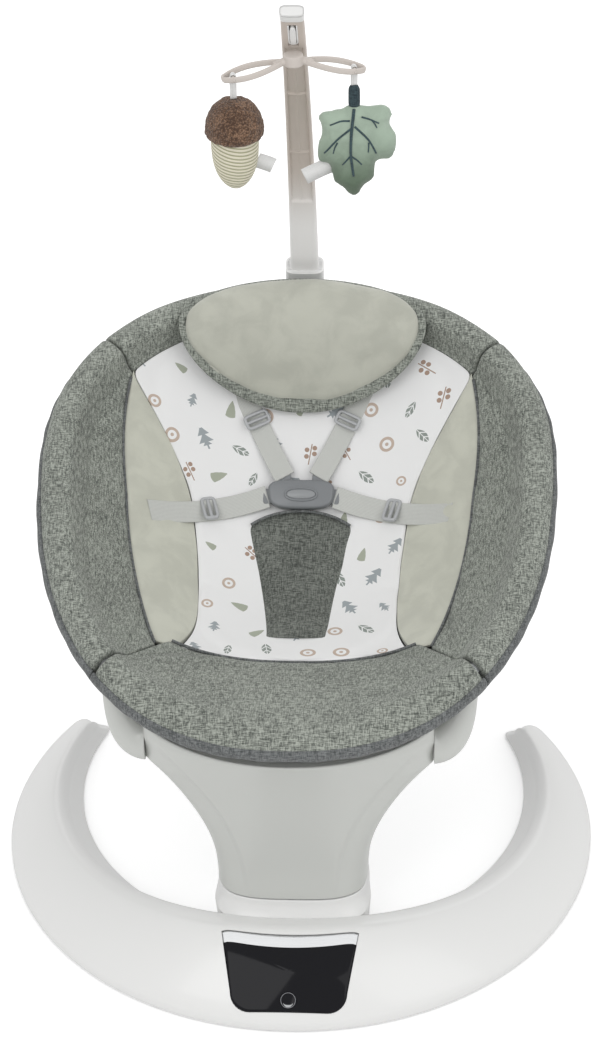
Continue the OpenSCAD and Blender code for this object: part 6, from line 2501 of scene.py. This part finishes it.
@dataclass
class Leaf(Toy):
    """Stuffed lobed leaf of velvet, with a cloth stem and embroidered veins."""

    body: str = "leaf"
    drop: float = 16.0
    stem: float = 20.0
    turn: float = 4.0
    thick: float = 15.0
    edge: tuple[tuple[float, float], ...] = (
        (-4.5, -0.5), (-11, -4.6), (-20, -5.6), (-29, -7.5), (-33, -13), (-30.5, -20), (-30, -29), (-33.5, -40),
        (-34.5, -52), (-31, -58), (-23, -59), (-21.5, -68), (-19, -78), (-11, -84), (-6, -91), (-1, -93),
        (4, -91), (9, -82), (17.5, -76), (19, -65), (22, -56.5), (34, -56), (38.5, -46), (39, -33),
        (33, -21), (35, -10), (31.5, -4), (24, -0.5), (14, -2.2), (5, -1.0),
    )
    ribs: tuple[tuple[float, tuple[tuple[float, float], ...]], ...] = (
        (1.6, ((0, 0), (-2.2, -16), (-3.4, -30), (-3.8, -46), (-2.6, -58), (-1.2, -69))),
        (0.95, ((-4.5, -13), (-13, -13.4), (-22.7, -17))),
        (0.95, ((6.4, -9.5), (14, -12), (22.4, -16))),
        (0.8, ((16, -13), (18.5, -16.5), (20.5, -20.5))),
        (1.1, ((-3.2, -20.5), (-14, -29.5), (-21, -37), (-28.2, -45.7))),
        (0.8, ((-16, -34.5), (-18.6, -40), (-20, -45.5))),
        (1.1, ((0, -18.6), (10.9, -30), (16, -38), (19.9, -46.5))),
        (0.8, ((12.8, -35), (12.8, -40), (12.4, -45))),
        (0.9, ((-3.8, -48), (-7.5, -52.6), (-11.5, -57.4))),
        (0.9, ((-2.6, -49), (2, -52.6), (6.4, -57.4))),
    )

    def at(self, points: Array) -> Array:
        """Points of the leaf's frame: x across, y back, z up, with its stem's top at the origin."""
        eye = self.hanger.eye_at(self.side)
        return place(points - np.array([0, 0, self.drop]), eye, spin(self.turn, "Z"))

    def build(self) -> None:
        """Make the ribbon, the stem, the leaf, its veins and its label."""
        self.looped_ribbon()
        z = np.linspace(0, -self.stem - 3, 14)
        t = circle(32)[None]
        swell = (1 - 0.5 * np.abs(np.linspace(1, -0.75, 14)) ** 6)[:, None]
        x, y = oval(t, 5.6 * swell, 4.0 * swell, 2.4)
        stem = solid("leaf_stem_cloth", self.at(stack(x, y, z[:, None])))
        puff(stem, Stuffing(voxel=0.002, pressure=2.0, reach=0.0008, fill=0.7))
        self.keep(stem, Look.STEM, "stem_cloth", "leaf_stem")
        ring = spline(np.array(self.edge, float), 240, closed=True)
        ring[:, 1] -= self.stem
        body = self.slab("leaf_velvet_body", ring, 3.0)
        across = self.at(np.array([0, 1.0, 0])) - self.at(np.zeros(3))
        puff(body, Stuffing(voxel=0.0028, pressure=5.0, reach=0.0035, fill=0.7), along=across)
        self.crown(body, ring)
        self.keep(body, Look.LEAF, "leaf_velvet", "leaf_body")
        self.veins(body)
        self.label("leaf_label_tab", (-43.5, 0, -self.stem - 80), (27, 16), -24, "leaf_label")

    def looped_ribbon(self) -> None:
        """Ribbon in the frame of the eye, not of the turned leaf."""
        own, self.drop, turn = self.drop, 0.0, self.turn
        self.turn = self.hanger.turn
        self.ribbon("leaf_ribbon_band", own, "leaf_ribbon")
        self.drop, self.turn = own, turn

    def slab(self, name: str, ring: Array, half: float) -> bpy.types.Object:
        """Flat slab from an outline in x and z, with one face on each side."""
        n = len(ring)
        inner = ring.mean(0) + (ring - ring.mean(0)) * 0.985
        rows = [
            stack(inner[:, 0], np.full(n, -half), inner[:, 1]),
            stack(ring[:, 0], np.full(n, -half * 0.5), ring[:, 1])
        ]
        rows += [
            stack(ring[:, 0], np.full(n, half * 0.5), ring[:, 1]),
            stack(inner[:, 0], np.full(n, half), inner[:, 1])
        ]
        pts = self.at(np.array(rows))
        faces = grid_faces(4, n, False, True).tolist() + [list(range(n)), list(range(3 * n, 4 * n))[::-1]]
        return outward(new_object(name, pts, faces))

    def crown(self, obj: bpy.types.Object, ring: Array) -> None:
        """Swell the slab by the distance from its outline.

        Formula: the half thickness grows by 3.2 (1 - exp(-distance / 9)).
        """
        co = coords(obj) / MM
        eye = self.hanger.eye_at(self.side)
        a = math.radians(self.turn)
        local = (co - eye) @ np.array(
            [[math.cos(a), -math.sin(a), 0], [math.sin(a), math.cos(a), 0], [0, 0, 1]]
        )
        flat = np.column_stack([local[:, 0], local[:, 2] + self.drop])
        away = np.min(np.linalg.norm(flat[:, None] - ring[None, ::2], axis=-1), axis=1)
        swell = 3.2 * (1 - np.exp(-away / 9)) * np.sign(local[:, 1])
        push = np.column_stack([-math.sin(a) * swell, math.cos(a) * swell, 0 * swell])
        set_coords(obj, (co + push) * MM)

    def veins(self, body: bpy.types.Object) -> None:
        """Embroidered midrib and side veins, laid on the front of the leaf.

        Formula: each vein is a thin tube whose points are dropped onto the leaf along its
        own depth.
        """
        tree = BVHTree.FromObject(body, bpy.context.evaluated_depsgraph_get())
        aim = Vector(self.at(np.array([0, 1.0, 0])) - self.at(np.array([0, 0.0, 0]))).normalized()
        parts = []
        for i, (radius, line) in enumerate(self.ribs):
            path = spline(np.array(line, float) - (0, self.stem), 26)
            from_ = self.at(stack(path[:, 0], np.full(26, -30.0), path[:, 1])) * MM
            hits = [tree.ray_cast(Vector(p), aim)[0] for p in from_]
            pts = np.array([h for h in hits if h is not None]) / MM
            if len(pts) < 6:
                continue
            r = radius * np.linspace(1.0, 0.75, len(pts))
            parts.append(solid(f"vein_{i}", tube_rings(pts, r, 8)))
        veins = merged(*parts)
        veins.name = "leaf_veins"
        self.keep(veins, Look.THREAD, "stem_cloth")


# ---------------------------------------------------------------- stage


@dataclass
class Studio:
    """Pale floor, soft lights and the camera."""

    azimuth: float = 3.06
    elevation: float = 34.5
    roll: float = -1.08
    distance: float = 2.6
    target: tuple[float, float, float] = (0.0, 0.14, 0.35)
    lens: float = 92.62
    shift: tuple[float, float] = (0.0041, 0.0273)
    floor_half: float = 9000.0
    lamp_aim: tuple[float, float, float] = (0.0, 0.1, 0.35)

    def camera(self) -> None:
        """Place the camera on a sphere round its target, with a small roll."""
        a, e, r = (math.radians(v) for v in (self.azimuth, self.elevation, self.roll))
        back = Vector((math.sin(a) * math.cos(e), -math.cos(a) * math.cos(e), math.sin(e)))
        right = Vector((math.cos(a), math.sin(a), 0))
        up = back.cross(right)
        x = math.cos(r) * right + math.sin(r) * up
        y = -math.sin(r) * right + math.cos(r) * up
        data = bpy.data.cameras.new("studio_camera")
        data.lens, data.sensor_width = self.lens, 36.0
        data.shift_x, data.shift_y = self.shift
        data.clip_start, data.clip_end = 0.1, 50
        cam = bpy.data.objects.new("studio_camera", data)
        bpy.context.scene.collection.objects.link(cam)
        at = Matrix.Translation(Vector(self.target) + back * self.distance)
        cam.matrix_world = at @ Matrix((x, y, back)).transposed().to_4x4()
        bpy.context.scene.camera = cam

    def floor(self) -> None:
        """A wide pale floor that keeps the shadow and shows white to the camera and in gloss."""
        corners = self.floor_half * np.array([[-1, -1, 0], [1, -1, 0], [1, 1, 0], [-1, 1, 0]])
        floor = new_object("studio_floor", corners, [[0, 1, 2, 3]])
        material = bpy.data.materials.new("floor_white")
        material.use_nodes = True
        graph = Graph(material.node_tree)
        shader = material.node_tree.nodes["Principled BSDF"]
        shader.inputs["Base Color"].default_value = paint((0.93, 0.93, 0.93))
        shader.inputs["Roughness"].default_value = 0.9
        path = graph.node("LightPath")
        glow = graph.node("Emission", Color=paint((1, 1, 1)), Strength=0.3)
        black = graph.node("Emission", Color=paint((0, 0, 0)), Strength=0.0)
        pick = graph.node("MixShader")
        both = graph.node("AddShader")
        camera_ray = graph.sock(path, "Is Camera Ray")
        for node, feeds in (
            (pick, (camera_ray, black.outputs[0], glow.outputs[0])),
            (both, (shader.outputs[0], pick.outputs[0])),
        ):
            for socket, value in zip(node.inputs, feeds):
                graph.feed(socket, value)
        graph.feed(material.node_tree.nodes["Material Output"].inputs["Surface"], both.outputs[0])
        floor.data.materials.append(material)

    def lights(self) -> None:
        """Even white surroundings with a large soft lamp over the front and a weak one behind."""
        world = bpy.data.worlds.new("studio_white")
        bpy.context.scene.world = world
        world.use_nodes = True
        graph = Graph(world.node_tree)
        back = world.node_tree.nodes["Background"]
        back.inputs["Color"].default_value = paint((1, 1, 1))
        seen = graph.node("LightPath")
        direct = graph.sock(seen, "Is Camera Ray").high(graph.sock(seen, "Is Glossy Ray") * 0.85)
        graph.feed(back.inputs["Strength"], graph.ramp(direct, 0.0, 1.0, 0.8, 1.0))
        for name, at, size, power in (
            ("soft_key", (-1.1, -1.9, 2.6), 1.8, 20.0),
            ("soft_fill", (1.7, -1.2, 1.9), 1.6, 10.0),
            ("soft_back", (0.3, 2.2, 2.0), 1.6, 8.0),
        ):
            data = bpy.data.lights.new(name, "AREA")
            data.shape, data.size, data.energy = "SQUARE", size, power
            lamp = bpy.data.objects.new(name, data)
            bpy.context.scene.collection.objects.link(lamp)
            lamp.location = at
            lamp.rotation_mode = "QUATERNION"
            lamp.rotation_quaternion = (Vector(at) - Vector(self.lamp_aim)).to_track_quat("Z", "Y")

    def build(self) -> None:
        """Set up the view, the floor, the lamps and the camera."""
        bpy.context.scene.view_settings.view_transform = "Standard"
        self.camera()
        self.floor()
        self.lights()


def dress_nodes(frame: dict) -> None:
    """Give every CAD node that stays in view its finish, from its material slot."""
    for part in frame["record"]["subparts"]:
        node = frame["nodes"][part["node"]]
        NODE_LOOKS[part["material_slot"]].on(node)


def clear_defaults() -> None:
    """Remove the objects that a new scene starts with."""
    for obj in list(bpy.data.objects):
        bpy.data.objects.remove(obj)


def main() -> None:
    """Build the swing on its frame."""
    logging.basicConfig(level=logging.INFO, format="%(message)s")
    clear_defaults()
    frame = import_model()
    Studio().build()
    dress_nodes(frame)
    base = Base()
    base.build()
    PowerButton().build(base)
    Pedestal().build()
    form = SeatForm()
    SeatArms(form=form).build()
    SeatCover(form=form).build()
    harness = Harness(form=form)
    harness.build()
    ReleaseButton().build(harness)
    bar = ToyBar(form=form)
    bar.build()
    hanger = Hanger(bar=bar)
    hanger.build()
    Acorn(hanger=hanger, side=-1.0).build()
    Leaf(hanger=hanger, side=1.0).build()


if __name__ == "__main__":
    main()
